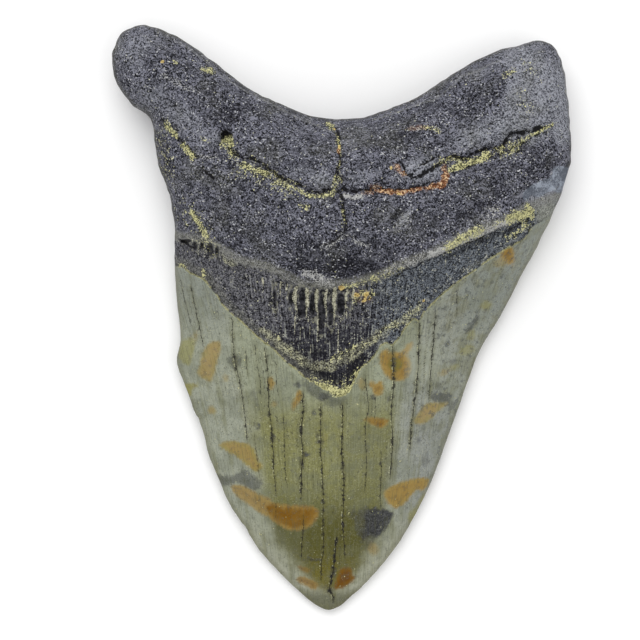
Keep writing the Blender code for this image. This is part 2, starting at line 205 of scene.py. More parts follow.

# ---- fissures of the root: depth, half width, sunken lower lip, half width of the black line of painted shade in it, points ----
FISSURES = [
    (0.55, 0.35, 0.45, 0.30, [(-22.8, 35.1), (-22.3, 33.8), (-20.5, 32.5), (-17.5, 32.0), (-15.1, 30.5),
                              (-12.5, 28.2), (-9.3, 27.1), (-6.6, 25.5), (-4.0, 25.2), (-1.4, 26.2)]),
    (0.45, 0.35, 0.25, 0.26, [(-1.4, 25.3), (0.5, 25.6), (3.4, 25.3), (6.0, 25.9), (9.4, 25.6),
                              (12.7, 25.8), (15.8, 26.7), (18.2, 27.8)]),
    (0.55, 0.35, 0.40, 0.36, [(10.2, 30.2), (11.0, 31.0), (11.9, 30.1), (12.8, 28.3), (14.7, 28.4),
                              (17.6, 29.8), (20.4, 31.8), (22.1, 32.9), (24.1, 32.3), (25.9, 33.1),
                              (28.4, 34.5), (31.8, 34.9), (34.0, 37.4), (37.6, 38.0), (41.6, 38.9),
                              (42.7, 39.9)]),
    (0.30, 0.30, 0.15, 0.20, [(21.4, 29.5), (23.1, 30.3), (25.1, 30.8), (27.5, 32.2), (31.8, 33.4),
                              (34.8, 35.0), (38.7, 36.9), (42.3, 38.7)]),
    (0.35, 0.30, 0.15, 0.16, [(12.8, 28.3), (15.2, 30.3), (17.8, 32.0), (20.1, 32.4), (21.7, 32.1)]),
    (0.40, 0.30, 0.20, 0.20, [(-37.3, 41.2), (-35.7, 39.5), (-34.5, 37.6), (-32.5, 35.9), (-30.4, 33.8),
                              (-28.8, 32.2)]),
    (0.50, 0.30, 0.00, 0.30, [(-2.2, 40.0), (-1.0, 36.6), (-0.6, 33.5), (-0.8, 30.2), (-1.5, 27.9),
                              (-2.7, 26.2)]),
    (0.40, 0.30, 0.00, 0.20, [(-1.0, 29.5), (-0.4, 27.6), (0.0, 25.8)]),
    (0.40, 0.35, 0.00, 0.27, [(-0.5, 25.6), (-0.1, 23.4), (0.5, 20.3), (0.3, 16.8)]),
    (0.22, 0.30, 0.20, 0.12, [(-4.0, 14.5), (-1.6, 15.6), (0.5, 17.3)]),
    (0.22, 0.30, 0.20, 0.14, [(0.5, 17.3), (2.5, 15.8), (4.8, 14.7)]),
    (0.40, 0.35, 0.30, 0.22, [(-33.6, 16.4), (-31.5, 15.5), (-29.9, 14.3)]),
    (0.20, 0.30, 0.00, 0.12, [(-28.8, 30.7), (-26.3, 28.7), (-25.3, 26.5)]),
    (0.20, 0.30, 0.00, 0.10, [(-18.2, 25.6), (-15.9, 24.3), (-14.2, 22.5)]),
    (0.30, 0.35, 0.30, 0.20, [(33.6, 18.1), (35.7, 19.1), (37.5, 20.7)]),
    (0.15, 0.30, 0.15, 0.08, [(10.0, 8.6), (15.8, 11.3), (22.4, 14.1), (29.6, 17.5), (33.7, 19.1)]),
    (0.12, 0.30, 0.00, 0.06, [(26.1, 41.8), (30.6, 43.2), (35.5, 43.6), (39.8, 43.0)]),
    (0.12, 0.30, 0.00, 0.06, [(-39.5, 46.5), (-35.8, 44.5), (-32.2, 42.2), (-29.8, 39.8)]),
    (0.15, 0.30, 0.20, 0.06, [(15.8, 33.3), (19.2, 35.2), (23.7, 36.2), (28.1, 38.4), (32.4, 40.8)]),
]

# ---- yellow sediment left in hollows: share covered, half width, points ----
SEDIMENT = [
    (1.00, 0.8, [(-23.2, 36.2), (-22.7, 35.8), (-22.3, 35.4)]),
    (0.60, 0.8, [(-23.7, 35.1), (-22.6, 33.5), (-21.8, 32.7)]),
    (0.68, 0.8, [(-20.0, 30.8), (-18.0, 30.0), (-16.5, 29.4), (-14.9, 28.8)]),
    (0.50, 0.8, [(-14.9, 28.8), (-12.5, 27.2)]),
    (0.60, 0.5, [(-13.2, 27.7), (-11.1, 26.5), (-9.1, 25.7)]),
    (0.62, 0.5, [(-9.1, 25.7), (-7.2, 24.7), (-5.2, 24.2), (-3.4, 24.4), (-1.9, 24.9)]),
    (0.55, 0.5, [(-2.7, 25.1), (-1.6, 25.8), (-0.7, 27.5)]),
    (0.35, 2.2, [(-19.4, 29.9), (-15.1, 28.2), (-10.4, 25.6)]),
    (0.80, 0.6, [(-30.2, 21.5), (-29.3, 19.9), (-28.2, 18.2), (-27.3, 16.7)]),
    (0.30, 2.4, [(-31.2, 22.4), (-30.0, 19.9), (-28.5, 17.8), (-27.5, 15.3)]),
    (0.75, 0.6, [(-35.7, 39.5), (-34.5, 38.2), (-33.5, 36.9)]),
    (0.80, 0.6, [(-32.2, 35.1), (-31.0, 33.9), (-30.1, 32.6)]),
    (0.72, 0.8, [(21.5, 30.1), (24.1, 30.9), (26.6, 31.9), (29.4, 33.2)]),
    (0.50, 0.7, [(29.4, 33.2), (33.3, 34.8), (36.8, 36.3)]),
    (0.70, 0.4, [(36.8, 36.5), (39.4, 37.8), (42.3, 39.4)]),
    (0.45, 1.0, [(18.7, 31.2), (21.1, 32.0), (23.7, 31.7)]),
    (0.45, 1.0, [(31.8, 33.0), (33.5, 33.6), (35.1, 34.4)]),
    (0.55, 0.6, [(16.2, 38.5), (17.7, 38.2), (19.2, 37.7)]),
    (0.70, 0.7, [(-2.9, 39.6), (-2.1, 38.6)]),
    (0.55, 0.3, [(-1.3, 37.2), (-0.7, 33.9), (-0.6, 30.9), (-1.0, 27.9)]),
    (0.55, 0.45, [(-1.6, 28.2), (-1.9, 26.8)]),
    (0.40, 0.40, [(-0.6, 24.4), (-0.5, 23.4), (0.0, 20.3), (0.1, 17.8)]),
    (1.00, 1.0, [(37.6, 21.6), (36.2, 21.0), (34.5, 20.7), (33.5, 20.2)]),
    (0.85, 0.5, [(37.0, 23.2), (37.6, 21.9), (38.3, 20.5)]),
    (0.85, 0.9, [(27.6, 17.9), (25.4, 17.0), (23.0, 15.8), (20.7, 14.4)]),
    (0.55, 0.6, [(37.8, 19.2), (35.7, 18.0), (33.7, 16.8)]),
    (0.45, 0.5, [(32.9, 20.0), (30.3, 19.0)]),
    (0.45, 0.8, [(11.4, 10.2), (7.9, 8.8), (4.1, 7.5)]),
    (0.50, 0.9, [(2.8, 4.4), (4.3, 5.4), (6.0, 5.0)]),
    (0.75, 0.4, [(-28.1, 9.0), (-28.3, 10.2)]),
    (0.75, 0.4, [(-33.2, 11.3), (-32.1, 10.8)]),
    (0.60, 0.5, [(2.7, 6.9), (1.4, 6.6), (0.0, 6.7)]),
    (0.45, 0.6, [(32.5, 49.2), (34.5, 50.0)]),
    (0.35, 0.9, [(36.8, 52.1), (38.4, 50.4), (39.3, 48.0)]),
    (0.30, 1.2, [(35.9, 44.7), (37.2, 42.4)]),
    (0.55, 0.4, [(-34.2, 52.4), (-33.3, 51.7)]),
    (0.65, 0.9, [(-27.7, 50.7), (-26.7, 50.3)]),
    (0.50, 0.8, [(-8.0, 22.3), (-7.2, 22.1)]),
    (0.60, 0.3, [(-28.2, 36.3), (-26.9, 35.5)]),
    (0.45, 0.4, [(-14.1, -2.9), (-12.7, -3.9)]),
    (0.50, 0.5, [(-2.6, -7.6), (-1.1, -7.2), (0.9, -6.2), (2.4, -5.4)]),
    (0.45, 0.9, [(-6.0, -12.0), (-4.0, -12.9), (-1.4, -13.6), (1.4, -12.6), (2.8, -10.2)]),
    (0.45, 0.7, [(32.9, 16.4), (35.1, 17.6), (37.1, 19.6)]),
    (0.35, 1.6, [(-36.8, 36.7), (-35.9, 33.3), (-35.4, 30.4)]),
]

# ---- pale, mostly washed bone, and some painted highlights: share covered, half width, points ----
PALE = [
    (1.00, 0.45, [(0.1, 24.5), (1.7, 24.1), (3.6, 24.3)]),
    # a painted highlight on a streak above the bourlette's middle
    (0.85, 0.75, [(-7.4, 9.2), (-5.3, 8.4), (-3.0, 7.4)]),
    (0.45, 1.1, [(30.3, 21.7), (28.9, 20.7)]),
    (1.00, 0.65, [(34.4, 20.2), (31.9, 19.1), (28.5, 17.6), (24.7, 16.1), (20.5, 14.1), (17.2, 12.7)]),
    (0.45, 0.8, [(17.7, 12.9), (14.4, 11.5), (11.5, 10.4), (8.5, 9.2)]),
    # painted light on the dimple's lower wall
    (0.30, 1.0, [(11.2, 18.3), (12.6, 20.0)]),
    (0.55, 0.5, [(-4.0, 14.2), (-1.6, 15.3), (0.5, 16.9), (2.5, 15.5), (4.8, 14.4)]),
    (0.35, 0.6, [(-36.1, 48.9), (-34.4, 48.3), (-32.2, 46.7), (-30.7, 46.3)]),
    (0.35, 0.5, [(-29.4, 33.4), (-27.2, 32.4), (-25.3, 32.7)]),
]

# ---- where a layer has flaked off the root's right edge ----
FLAKE = [
    (42.5, 30.7), (44.7, 31.2), (46.4, 30.7), (45.6, 27.6), (44.4, 25.6), (42.4, 26.0), (41.0, 25.3),
    (39.3, 24.5), (37.9, 24.8), (36.9, 23.8), (35.9, 24.4), (36.2, 25.7), (37.8, 27.0), (39.9, 28.1),
    (41.9, 28.9),
]

# ---- crests of the bevel along the root's upper edge ----
BEVELS = [
    [(-35.5, 57.4), (-33.7, 56.5), (-30.8, 54.9), (-26.5, 51.5), (-24.6, 49.4), (-22.2, 48.0),
     (-19.6, 46.4), (-16.0, 44.6), (-12.8, 42.9), (-8.1, 40.3), (-5.1, 39.0), (-1.7, 36.9)],
    [(5.0, 39.9), (10.7, 41.8), (15.6, 43.7), (18.8, 44.6), (22.1, 47.3), (24.3, 49.4), (26.6, 49.9),
     (29.9, 51.7), (33.0, 52.8)],
]

# ---- ribs of the bourlette: half width at the upper end, then points downwards ----
RIBS = [
    (0.20, [(-16.0, 8.3), (-15.9, 6.2), (-16.1, 3.9)]),
    (0.34, [(-12.3, 7.5), (-12.5, 5.8), (-12.2, 3.4)]),
    (0.34, [(-11.1, 7.0), (-11.3, 5.2), (-11.0, 3.9)]),
    (0.50, [(-9.3, 6.2), (-9.6, 4.2), (-9.2, 2.0), (-9.6, -0.5), (-9.5, -4.5)]),
    (0.45, [(-7.2, 6.0), (-7.0, 3.5), (-7.2, 0.9), (-6.6, -1.4), (-6.4, -7.0)]),
    (0.40, [(-5.1, 6.0), (-5.3, 3.3), (-5.0, -0.3), (-5.1, -7.4)]),
    (0.36, [(-3.3, 5.8), (-3.5, 3.5), (-3.1, 0.2), (-3.0, -3.0)]),
    (0.42, [(-1.5, 6.2), (-1.8, 3.3), (-1.5, -0.3), (-0.9, -2.3), (-1.0, -7.0)]),
    (0.36, [(0.8, 6.1), (0.6, 3.3), (0.9, 0.0), (1.4, -1.9), (1.4, -5.8)]),
    (0.30, [(2.1, 6.0), (1.9, 3.3), (2.3, -0.3)]),
    (0.13, [(-8.4, -1.6), (-8.6, -5.8)]),
    (0.12, [(-3.6, -3.5), (-3.7, -8.4)]),
    (0.12, [(3.9, 1.4), (4.1, -3.5)]),
    (0.26, [(-27.7, 16.9), (-28.2, 16.2), (-28.9, 15.5), (-29.1, 13.0)]),
    (0.28, [(-27.3, 16.7), (-27.8, 15.5), (-27.3, 13.6)]),
    (0.14, [(-30.2, 16.5), (-30.7, 14.7)]),
    (0.12, [(15.4, 10.0), (15.3, 8.3)]),
    (0.12, [(20.5, 12.0), (20.4, 10.1)]),
]

# ---- dark pits between the ribs: X, Y, half height, half width ----
PITS = [
    (-10.3, 4.3, 1.7, 0.50), (-8.1, 4.5, 1.9, 0.65), (-8.2, 1.8, 1.5, 1.00), (-6.0, 3.1, 2.5, 0.62),
    (-4.2, 1.3, 3.6, 0.75), (-2.4, 1.0, 2.7, 0.55), (-0.4, 3.0, 2.5, 0.75), (1.4, 3.5, 1.6, 0.30),
    (-13.6, 4.5, 2.0, 0.40), (-29.8, 14.9, 1.0, 0.50), (-28.3, 15.0, 0.9, 0.40), (-26.6, 14.2, 1.4, 0.75),
    (-25.2, 13.9, 1.0, 0.45), (-31.8, 16.0, 0.4, 1.2),
]

# ---- the mottled ridge in the bourlette's lower part ----
LOWER_RIDGE = [
    (-16.4, -2.1), (-14.4, -3.3), (-12.1, -5.1), (-9.6, -7.0), (-7.2, -8.8), (-4.0, -9.5), (-0.8, -8.5),
    (2.0, -6.7), (6.2, -3.8), (8.6, -1.9), (11.4, -0.6), (13.8, 1.0), (15.6, 2.8),
]

# ---- mineral stains in the enamel: colour (0 olive, 0.5 tan, 1 orange brown), strength, outline ----
OCHRE_STAINS = [
    (0.42, 0.78, [(-26.4, -4.5), (-24.8, -4.5), (-24.7, -5.7), (-25.5, -8.7), (-26.5, -12.2),
                  (-27.9, -12.3), (-29.3, -11.5), (-29.6, -10.7), (-28.9, -8.9), (-28.9, -7.7),
                  (-27.5, -5.2)]),
    (0.0, 0.6, [(-33.0, -4.5), (-30.4, -3.8), (-30.1, -5.0), (-30.6, -7.0), (-31.5, -9.4), (-33.4, -8.0)]),
    (0.1, 0.78, [(-32.4, -13.4), (-29.3, -13.2), (-30.7, -14.2), (-31.2, -15.6), (-32.0, -15.0)]),
    (0.4, 0.66, [(-27.4, -18.1), (-26.4, -17.8), (-25.8, -18.9), (-26.5, -19.4), (-27.4, -19.1)]),
    (0.6, 0.9, [(-14.7, -11.6), (-14.2, -11.7), (-13.7, -13.0), (-14.3, -14.1), (-14.9, -13.5),
                (-15.1, -12.2)]),
    (0.75, 0.96, [(-9.1, -14.4), (-8.2, -14.6), (-8.3, -16.1), (-9.0, -16.8), (-10.0, -18.1),
                  (-10.0, -16.8), (-9.5, -15.8)]),
    (0.38, 0.9, [(-23.4, -25.0), (-21.9, -24.9), (-19.2, -25.4), (-17.9, -26.6), (-17.3, -28.6),
                 (-16.2, -29.6), (-16.9, -30.6), (-17.9, -30.9), (-19.9, -29.4), (-21.6, -28.0),
                 (-24.2, -26.6), (-25.2, -25.6)]),
    (0.85, 1, [(-19.4, -36.0), (-16.6, -36.4), (-13.3, -37.6), (-8.3, -38.0), (-6.1, -38.0), (-4.9, -39.2),
               (-5.2, -40.5), (-6.7, -42.2), (-8.9, -43.0), (-11.1, -42.8), (-13.3, -41.7), (-15.9, -39.6),
               (-18.6, -37.2)]),
    (0.6, 0.85, [(-22.6, -34.2), (-20.0, -34.2), (-16.8, -35.8), (-14.4, -37.2), (-15.0, -40.2),
                 (-17.4, -39.2), (-19.6, -37.6), (-22.2, -35.8)]),
    (0.55, 1, [(8.8, -34.9), (10.7, -33.8), (13.6, -32.9), (16.2, -32.6), (17.9, -32.8), (17.7, -34.2),
               (16.5, -35.3), (15.2, -34.9), (14.0, -36.5), (12.4, -38.0), (11.0, -38.6), (9.5, -37.6),
               (8.7, -36.2)]),
    (1.3, 1, [(-0.2, -51.2), (1.7, -51.2), (2.0, -52.6), (2.6, -53.3), (1.7, -54.3), (-0.2, -55.4),
              (-1.5, -55.2), (-1.1, -53.2)]),
    (0.85, 0.84, [(-9.3, -54.0), (-8.4, -52.9), (-5.9, -53.8), (-4.9, -54.8), (-5.9, -55.7),
                  (-7.5, -54.9)]),
    (1.0, 0.6, [(-9.0, -50.7), (-6.8, -51.1), (-7.1, -52.0), (-8.4, -51.6)]),
    (0.62, 1, [(7.4, -7.2), (8.6, -6.0), (9.8, -6.6), (11.4, -6.6), (12.8, -7.2), (13.9, -8.7),
               (13.6, -10.8), (12.3, -12.2), (10.4, -12.2), (8.9, -11.3), (7.9, -9.6)]),
    (0.65, 0.96, [(13.1, -4.9), (14.1, -4.7), (14.0, -5.6), (13.1, -6.8), (12.3, -6.1)]),
    (0.7, 0.96, [(5.6, -12.2), (6.6, -12.8), (7.8, -12.5), (8.3, -13.8), (7.8, -15.0), (6.6, -15.3),
                 (6.0, -14.1), (5.4, -13.2)]),
    (0.85, 1, [(4.5, -20.0), (5.7, -19.8), (9.2, -20.3), (9.0, -21.2), (7.8, -22.0), (6.6, -21.4),
               (4.8, -20.6)]),
    (0.4, 0.78, [(17.2, -17.2), (19.7, -17.0), (21.8, -17.1), (19.7, -18.8), (17.9, -20.5), (16.0, -21.3),
                 (14.5, -20.7), (15.4, -19.3)]),
    (0.75, 1, [(33.1, 14.5), (34.4, 14.5), (34.9, 11.4), (33.1, 11.6), (32.0, 12.8), (32.0, 13.7)]),
]

# ---- larger grey stains: strength, outline ----
GREY_STAINS = [
    (0.6, [(-21.2, -31.3), (-19.7, -30.7), (-18.2, -31.7), (-16.7, -32.8), (-16.8, -34.2), (-18.3, -34.9),
           (-20.2, -33.8), (-21.7, -33.5), (-23.2, -34.0), (-24.6, -34.2), (-25.7, -32.3), (-24.2, -32.2),
           (-22.2, -32.0)]),
    (1.0, [(3.6, -39.2), (6.7, -38.5), (10.3, -39.4), (9.8, -41.3), (8.9, -42.9), (7.0, -44.8),
           (5.2, -45.5), (3.8, -44.6), (3.2, -42.2)]),
    (0.75, [(25.1, -2.3), (26.5, -0.5), (27.5, 0.8), (28.0, 0.1), (26.9, -1.4), (25.8, -2.6)]),
    (0.66, [(17.8, -15.1), (21.5, -15.2), (22.5, -15.9), (21.2, -17.0), (18.4, -16.4)]),
    (0.6, [(-22.8, -7.5), (-21.9, -7.2), (-20.9, -7.3), (-20.4, -8.2), (-20.7, -9.3), (-21.5, -9.8),
           (-22.5, -9.4), (-23.0, -8.5)]),
]

# ---- small stains as ellipses: X, Y, half width, half height, turn in degrees, and a value, which is the
# tone of an ochre spot and the strength of the others ----
OCHRE_SPOTS = [
    (31.8, 11.4, 1.3, 0.9, 0, 0.35), (29.3, 2.9, 1.2, 0.9, 0, 0.1), (26.4, -3.2, 0.9, 1.1, 0, 0.05),
    (25.5, -6.5, 1.8, 0.7, 10, 0.05), (22.9, -9.7, 1.0, 0.6, 0, 0.1), (20.7, -10.8, 1.1, 0.6, 20, 0.45),
    (-23.7, -11.9, 0.5, 0.7, 0, 0.45), (-13.8, -17.1, 0.5, 0.5, 0, 0.45), (6.4, -47.1, 1.0, 1.4, 20, 0.5),
    (3.8, -12.9, 0.7, 1.2, 30, 0.5), (25.9, -6.0, 1.4, 0.8, 0, 0.0), (14.7, -40.5, 1.0, 1.4, -20, 0.0),
    (-30.0, -3.4, 0.5, 0.8, 0, 0.45), (-3.4, -24.1, 0.5, 0.9, 0, 0.1), (16.7, -37.7, 0.9, 1.8, -30, 0.1),
]

GREY_SPOTS = [
    (32.6, 9.0, 0.6, 0.5, 0, 0.4), (21.6, -5.0, 0.4, 0.5, 0, 0.7), (22.6, -8.7, 0.9, 0.6, 0, 0.45),
    (19.6, -13.7, 0.8, 0.8, 0, 0.4), (16.1, -6.4, 0.6, 0.5, 0, 0.4), (20.6, -1.7, 1.2, 0.8, 0, 0.3),
    (-21.7, -8.4, 0.4, 1.1, 0, 0.9), (10.4, -8.8, 0.5, 1.1, 0, 0.8), (-17.6, -15.9, 0.4, 0.4, 0, 0.5),
    (-17.4, -17.4, 0.4, 0.6, 0, 0.4), (-18.2, -14.9, 0.4, 0.4, 0, 0.5), (-17.0, -21.7, 0.3, 0.4, 0, 0.9),
    (-17.8, -21.1, 0.3, 0.3, 0, 0.8), (-9.0, -13.0, 0.4, 0.5, 0, 0.9), (-14.0, -24.1, 0.4, 0.6, 0, 0.9),
    (-7.6, -27.4, 0.5, 0.5, 0, 1.0), (-8.3, -29.1, 0.4, 1.0, 0, 0.9), (-4.4, -24.7, 0.6, 0.4, 0, 0.9),
    (-5.0, -23.5, 0.4, 0.6, 20, 0.8), (-5.8, -18.8, 0.4, 0.5, 0, 0.7), (-3.9, -15.3, 1.0, 0.6, 0, 0.7),
    (-6.2, -49.2, 0.9, 0.3, 0, 0.7), (-15.3, -8.0, 0.35, 0.6, -20, 0.9), (2.3, -39.7, 0.7, 1.2, 0, 0.45),
    (0.2, -29.7, 0.4, 0.9, 0, 1.0), (2.9, -35.5, 1.4, 0.8, 0, 0.2), (15.5, -24.7, 0.4, 0.6, 0, 0.5),
    (5.9, -41.0, 1.0, 1.6, 0, 1.0), (5.3, -43.6, 0.7, 1.2, 0, 1.0), (-1.9, -51.8, 0.5, 1.0, 0, 0.9),
    (17.0, -28.9, 0.8, 1.1, 20, 0.35), (-2.7, -55.6, 0.4, 0.5, 0, 0.9), (6.1, -15.6, 0.5, 0.4, 0, 0.8),
    (9.6, -16.1, 0.4, 0.5, 0, 0.7), (22.6, -17.6, 0.8, 1.2, -20, 0.4), (4.9, -23.0, 0.4, 1.0, 0, 0.8),
    (6.0, -28.5, 6.0, 7.0, 0, 0.14), (-5.7, -14.0, 2.4, 1.3, -42, 0.55), (-3.8, -15.5, 1.5, 1.0, 0, 0.85),
    (-1.4, -16.4, 2.2, 0.9, 0, 0.5), (4.4, -41.5, 1.9, 3.2, 0, 0.5), (5.6, -44.4, 1.4, 2.4, -20, 0.4),
    (17.5, 1.8, 4.0, 2.4, 0, 0.14),
]
RUST_SPOTS = [
    (8.4, 25.3, 2.6, 0.65, -4, 1.0), (11.3, 25.1, 1.6, 0.6, 0, 1.0), (14.4, 25.7, 2.6, 0.5, 12, 1.0),
    (17.8, 26.4, 1.7, 0.7, 20, 1.0), (20.4, 28.3, 0.8, 1.8, -10, 1.0), (20.2, 30.3, 0.8, 0.8, 0, 0.7),
    (19.7, 26.8, 1.1, 0.8, 40, 1.0), (10.7, 30.0, 0.7, 1.1, 35, 0.7), (11.9, 28.9, 0.6, 1.0, 45, 0.6),
    (15.0, 38.4, 2.4, 0.6, 5, 0.3), (-0.8, 33.6, 0.4, 0.7, 0, 1.0), (3.9, 4.6, 2.2, 1.4, -15, 0.12),
    (4.8, 24.9, 1.4, 0.4, 0, 0.5), (6.3, 26.2, 1.2, 0.5, 0, 0.4),
]
GOLD_SPOTS = [
    (-0.3, 6.3, 0.7, 0.55, 0, 1), (-36.3, 52.0, 0.45, 0.35, 0, 1), (9.5, 30.0, 0.3, 0.35, 0, 1),
    (-1.7, 38.3, 0.3, 0.4, 0, 1), (-0.7, 34.2, 0.3, 0.5, 0, 1), (2.7, 5.0, 0.5, 0.4, 0, 1),
    (16.2, 3.8, 0.3, 0.4, 30, 1), (11.0, 24.8, 0.5, 0.25, 0, 1), (4.3, 3.9, 0.7, 0.35, 20, 1),
    (2.8, 4.9, 0.6, 0.45, 0, 1), (4.7, 5.0, 0.6, 0.5, 20, 1), (5.4, 4.2, 0.35, 0.3, 0, 1),
]

# ---- broad patches, as the spots are, that are paler (positive) or darker (negative) ----
# the patches are partly the bone's own tone and partly painted light and shade: painted shade where the
# root's swell turns down above the bourlette, and painted light and shade on the dimple's lower and upper
# walls
PATCHES = [
    (-40.6, 54.4, 6, 6, 30, 0.55), (-24.4, 42.8, 8, 4, -30, -0.5), (-28.3, 36.9, 5, 4, 0, 0.35),
    (37.5, 46.0, 6, 9, 10, 1.6), (41.9, 32.2, 5, 4, 20, -0.8), (31.9, 27.1, 9, 4, 30, -0.5),
    (13.4, 36.7, 6, 2.5, 20, -0.5), (25.1, 37.8, 8, 2.5, 20, 0.35), (-21.3, 26.0, 9, 3, -35, -0.35),
    (-5.9, 11.0, 12, 2.2, -8, -0.9), (2.7, 11.0, 9, 2.4, 10, -0.8), (21.0, 15.9, 9, 1.5, 28, 0.5),
    (-3.0, -11.5, 4, 1.3, -20, -1.0), (2.8, -8.8, 3, 1.2, 45, -0.9), (-14.6, 7.7, 7, 2, -15, 0.2),
    (-23.4, 12.0, 2.6, 1.8, -20, 0.5), (29.1, 14.1, 8, 1.2, 30, -0.25), (-36.5, 52.0, 3, 2.5, 0, -0.8),
    (28.6, 45.4, 4.5, 2.5, 30, -1.0), (34.0, 49.2, 3, 2, 0, -0.5), (-22.0, 42.4, 3, 2, 0, -0.5),
    (10.0, 35.0, 4, 2.5, 0, -0.5), (-5.0, 15.0, 2, 1.5, 0, -0.6), (0.0, 14.0, 16, 4.5, 0, -0.45),
    (26.0, 22.0, 4, 2.5, 20, -0.6), (-4.0, 27.4, 2, 1.5, 0, 0.8), (15.2, 29.6, 4, 2.4, 0, 1.3),
    (-24.0, 36.0, 3, 2, 0, 0.4), (-38.0, 45.0, 4, 3, 0, 0.5), (26.0, 36.0, 6, 2, 25, 0.5),
    (38.0, 38.0, 3, 5, 0, 0.5), (37.0, 25.0, 3, 1.5, 0, 0.6), (-35.0, 32.5, 3, 3, 0, -0.6),
    (-2.0, 37.5, 5, 2, 0, -0.4), (3.5, 37.6, 2.5, 2, 0, 0.6), (-13.0, 11.8, 3, 1.2, 0, 0.5),
    (4.0, 11.8, 3, 1.0, 0, 0.4), (-29.0, 8.0, 3, 1.6, 0, -0.6), (2.4, -10.2, 2.2, 1.4, 50, -0.6),
    (-5.5, -6.6, 2.5, 1.5, 0, -0.7), (-2.4, 5.4, 1.5, 1.2, 0, -0.6), (44.6, 40.0, 2.0, 13.0, -3, 0.9),
    (41.6, 21.6, 2.6, 4.6, 20, 1.8), (34.0, 15.4, 5.0, 1.0, 32, 0.6), (26.0, 10.8, 5.0, 0.9, 30, 0.7),
    (12.3, 20.4, 2.8, 0.8, 54, 1.6), (10.8, 20.9, 2.6, 0.5, 54, -1.5), (-31.0, 11.8, 3.0, 1.4, 0, 0.5),
    (8.0, -2.4, 3.0, 1.2, 40, 0.5), (-32.0, 41.3, 4, 3, 0, 0.6), (-8.4, 29.4, 3, 2, 0, 0.5),
    (3.5, 27.5, 4, 3, 0, 0.5), (31.2, 37.3, 3, 3, 0, 0.5), (35.1, 37.3, 2, 3, 0, -0.4),
    (-8.4, 33.4, 3, 2, 0, -0.4), (13.4, 21.5, 6, 3, 0, -0.5), (-28.1, 21.5, 4, 3, 0, -0.4),
    (-20.2, 17.6, 4, 3, 0, -0.6), (-4.4, 9.7, 4, 1.5, 0, -0.5), (27.2, 49.2, 3, 2, 0, 0.4),
    (6.4, 26.0, 2.0, 1.2, 0, -1.6), (-8.4, -10.0, 3, 1.5, 0, -0.9), (-12.2, -6.2, 3, 1.5, 0, -0.6),
    (-4.4, 5.7, 2, 2, 0, -0.5), (7.8, 5.7, 2, 1.5, 0, 0.6), (7.8, -5.3, 2.0, 1.1, 45, 0.9),
]

# ---- single marks, as ellipses without a value: a hollow in the root, a knob in the bourlette's left
# part, a greener swirl in an ochre stain; and the middle of the nutrient hole ----
DIMPLE = (11.5, 20.2, 3.1, 1.25, 52)
KNOB = (-22.5, 12.3, 2.4, 1.6, -35)
SWIRL = (10.6, -9.0, 1.9, 1.7, 0)
FORAMEN = (-23.3, 36.7)


# ---------------------------------------------------------------- lines, spots and noise


def lookup(table, y):
    """Smooth value of a (Y, value) table."""
    ys, values = np.array(table, float).T
    slopes = np.zeros(len(ys))
    slopes[1:-1] = (values[2:] - values[:-2]) / (ys[2:] - ys[:-2])
    y = np.clip(y, ys[0], ys[-1])
    i = np.clip(np.searchsorted(ys, y, "right") - 1, 0, len(ys) - 2)
    gap = ys[i + 1] - ys[i]
    t = (y - ys[i]) / gap
    return (
        values[i] * (1 + 2 * t) * (1 - t) ** 2
        + slopes[i] * gap * t * (1 - t) ** 2
        + values[i + 1] * t * t * (3 - 2 * t)
        + slopes[i + 1] * gap * t * t * (t - 1)
    )


def curve(points, closed=False, steps=CURVE_STEPS):
    """Smooth polyline through the points, with the given number of steps from each to the next."""
    p = np.array(points, dtype=float)
    if closed:
        before, here, after, beyond = np.roll(p, 1, 0), p, np.roll(p, -1, 0), np.roll(p, -2, 0)
    else:
        full = np.vstack([2 * p[0] - p[1], p, 2 * p[-1] - p[-2]])
        before, here, after, beyond = full[:-3], full[1:-2], full[2:-1], full[3:]
    t = (np.arange(steps) / steps)[None, :, None]
    before, here, after, beyond = (q[:, None, :] for q in (before, here, after, beyond))
    line = (
        here
        + 0.5 * t * (after - before)
        + t * t * (before - 2.5 * here + 2 * after - 0.5 * beyond)
        + t**3 * (1.5 * here - 1.5 * after + 0.5 * beyond - 0.5 * before)
    ).reshape(-1, 2)
    return line if closed else np.vstack([line, p[-1]])


def lengths(steps):
    """The length gone by at each end of a row of steps, from 0."""
    return np.concatenate([[0], np.cumsum(np.hypot(*steps.T))])


def walk(line, fractions):
    """Points at the given fractions of a polyline's length."""
    run = lengths(np.diff(line, axis=0))
    at = np.asarray(fractions) * run[-1]
    return np.column_stack([np.interp(at, run, line[:, 0]), np.interp(at, run, line[:, 1])])


def nearest(line, point):
    """The number of the polyline's point that is nearest to a place."""
    return int(np.argmin(np.hypot(line[:, 0] - point[0], line[:, 1] - point[1])))


def smooth(low, high, x):
    """0 up to low and 1 from high on, with a soft step between; it falls if low is above high."""
    t = np.clip((x - low) / (high - low), 0, 1)
    return t * t * (3 - 2 * t)


def bump(x, width):
    """A soft bump: 1 at 0, and nearly gone at twice the width."""
    return np.exp(-((x / width) ** 2))


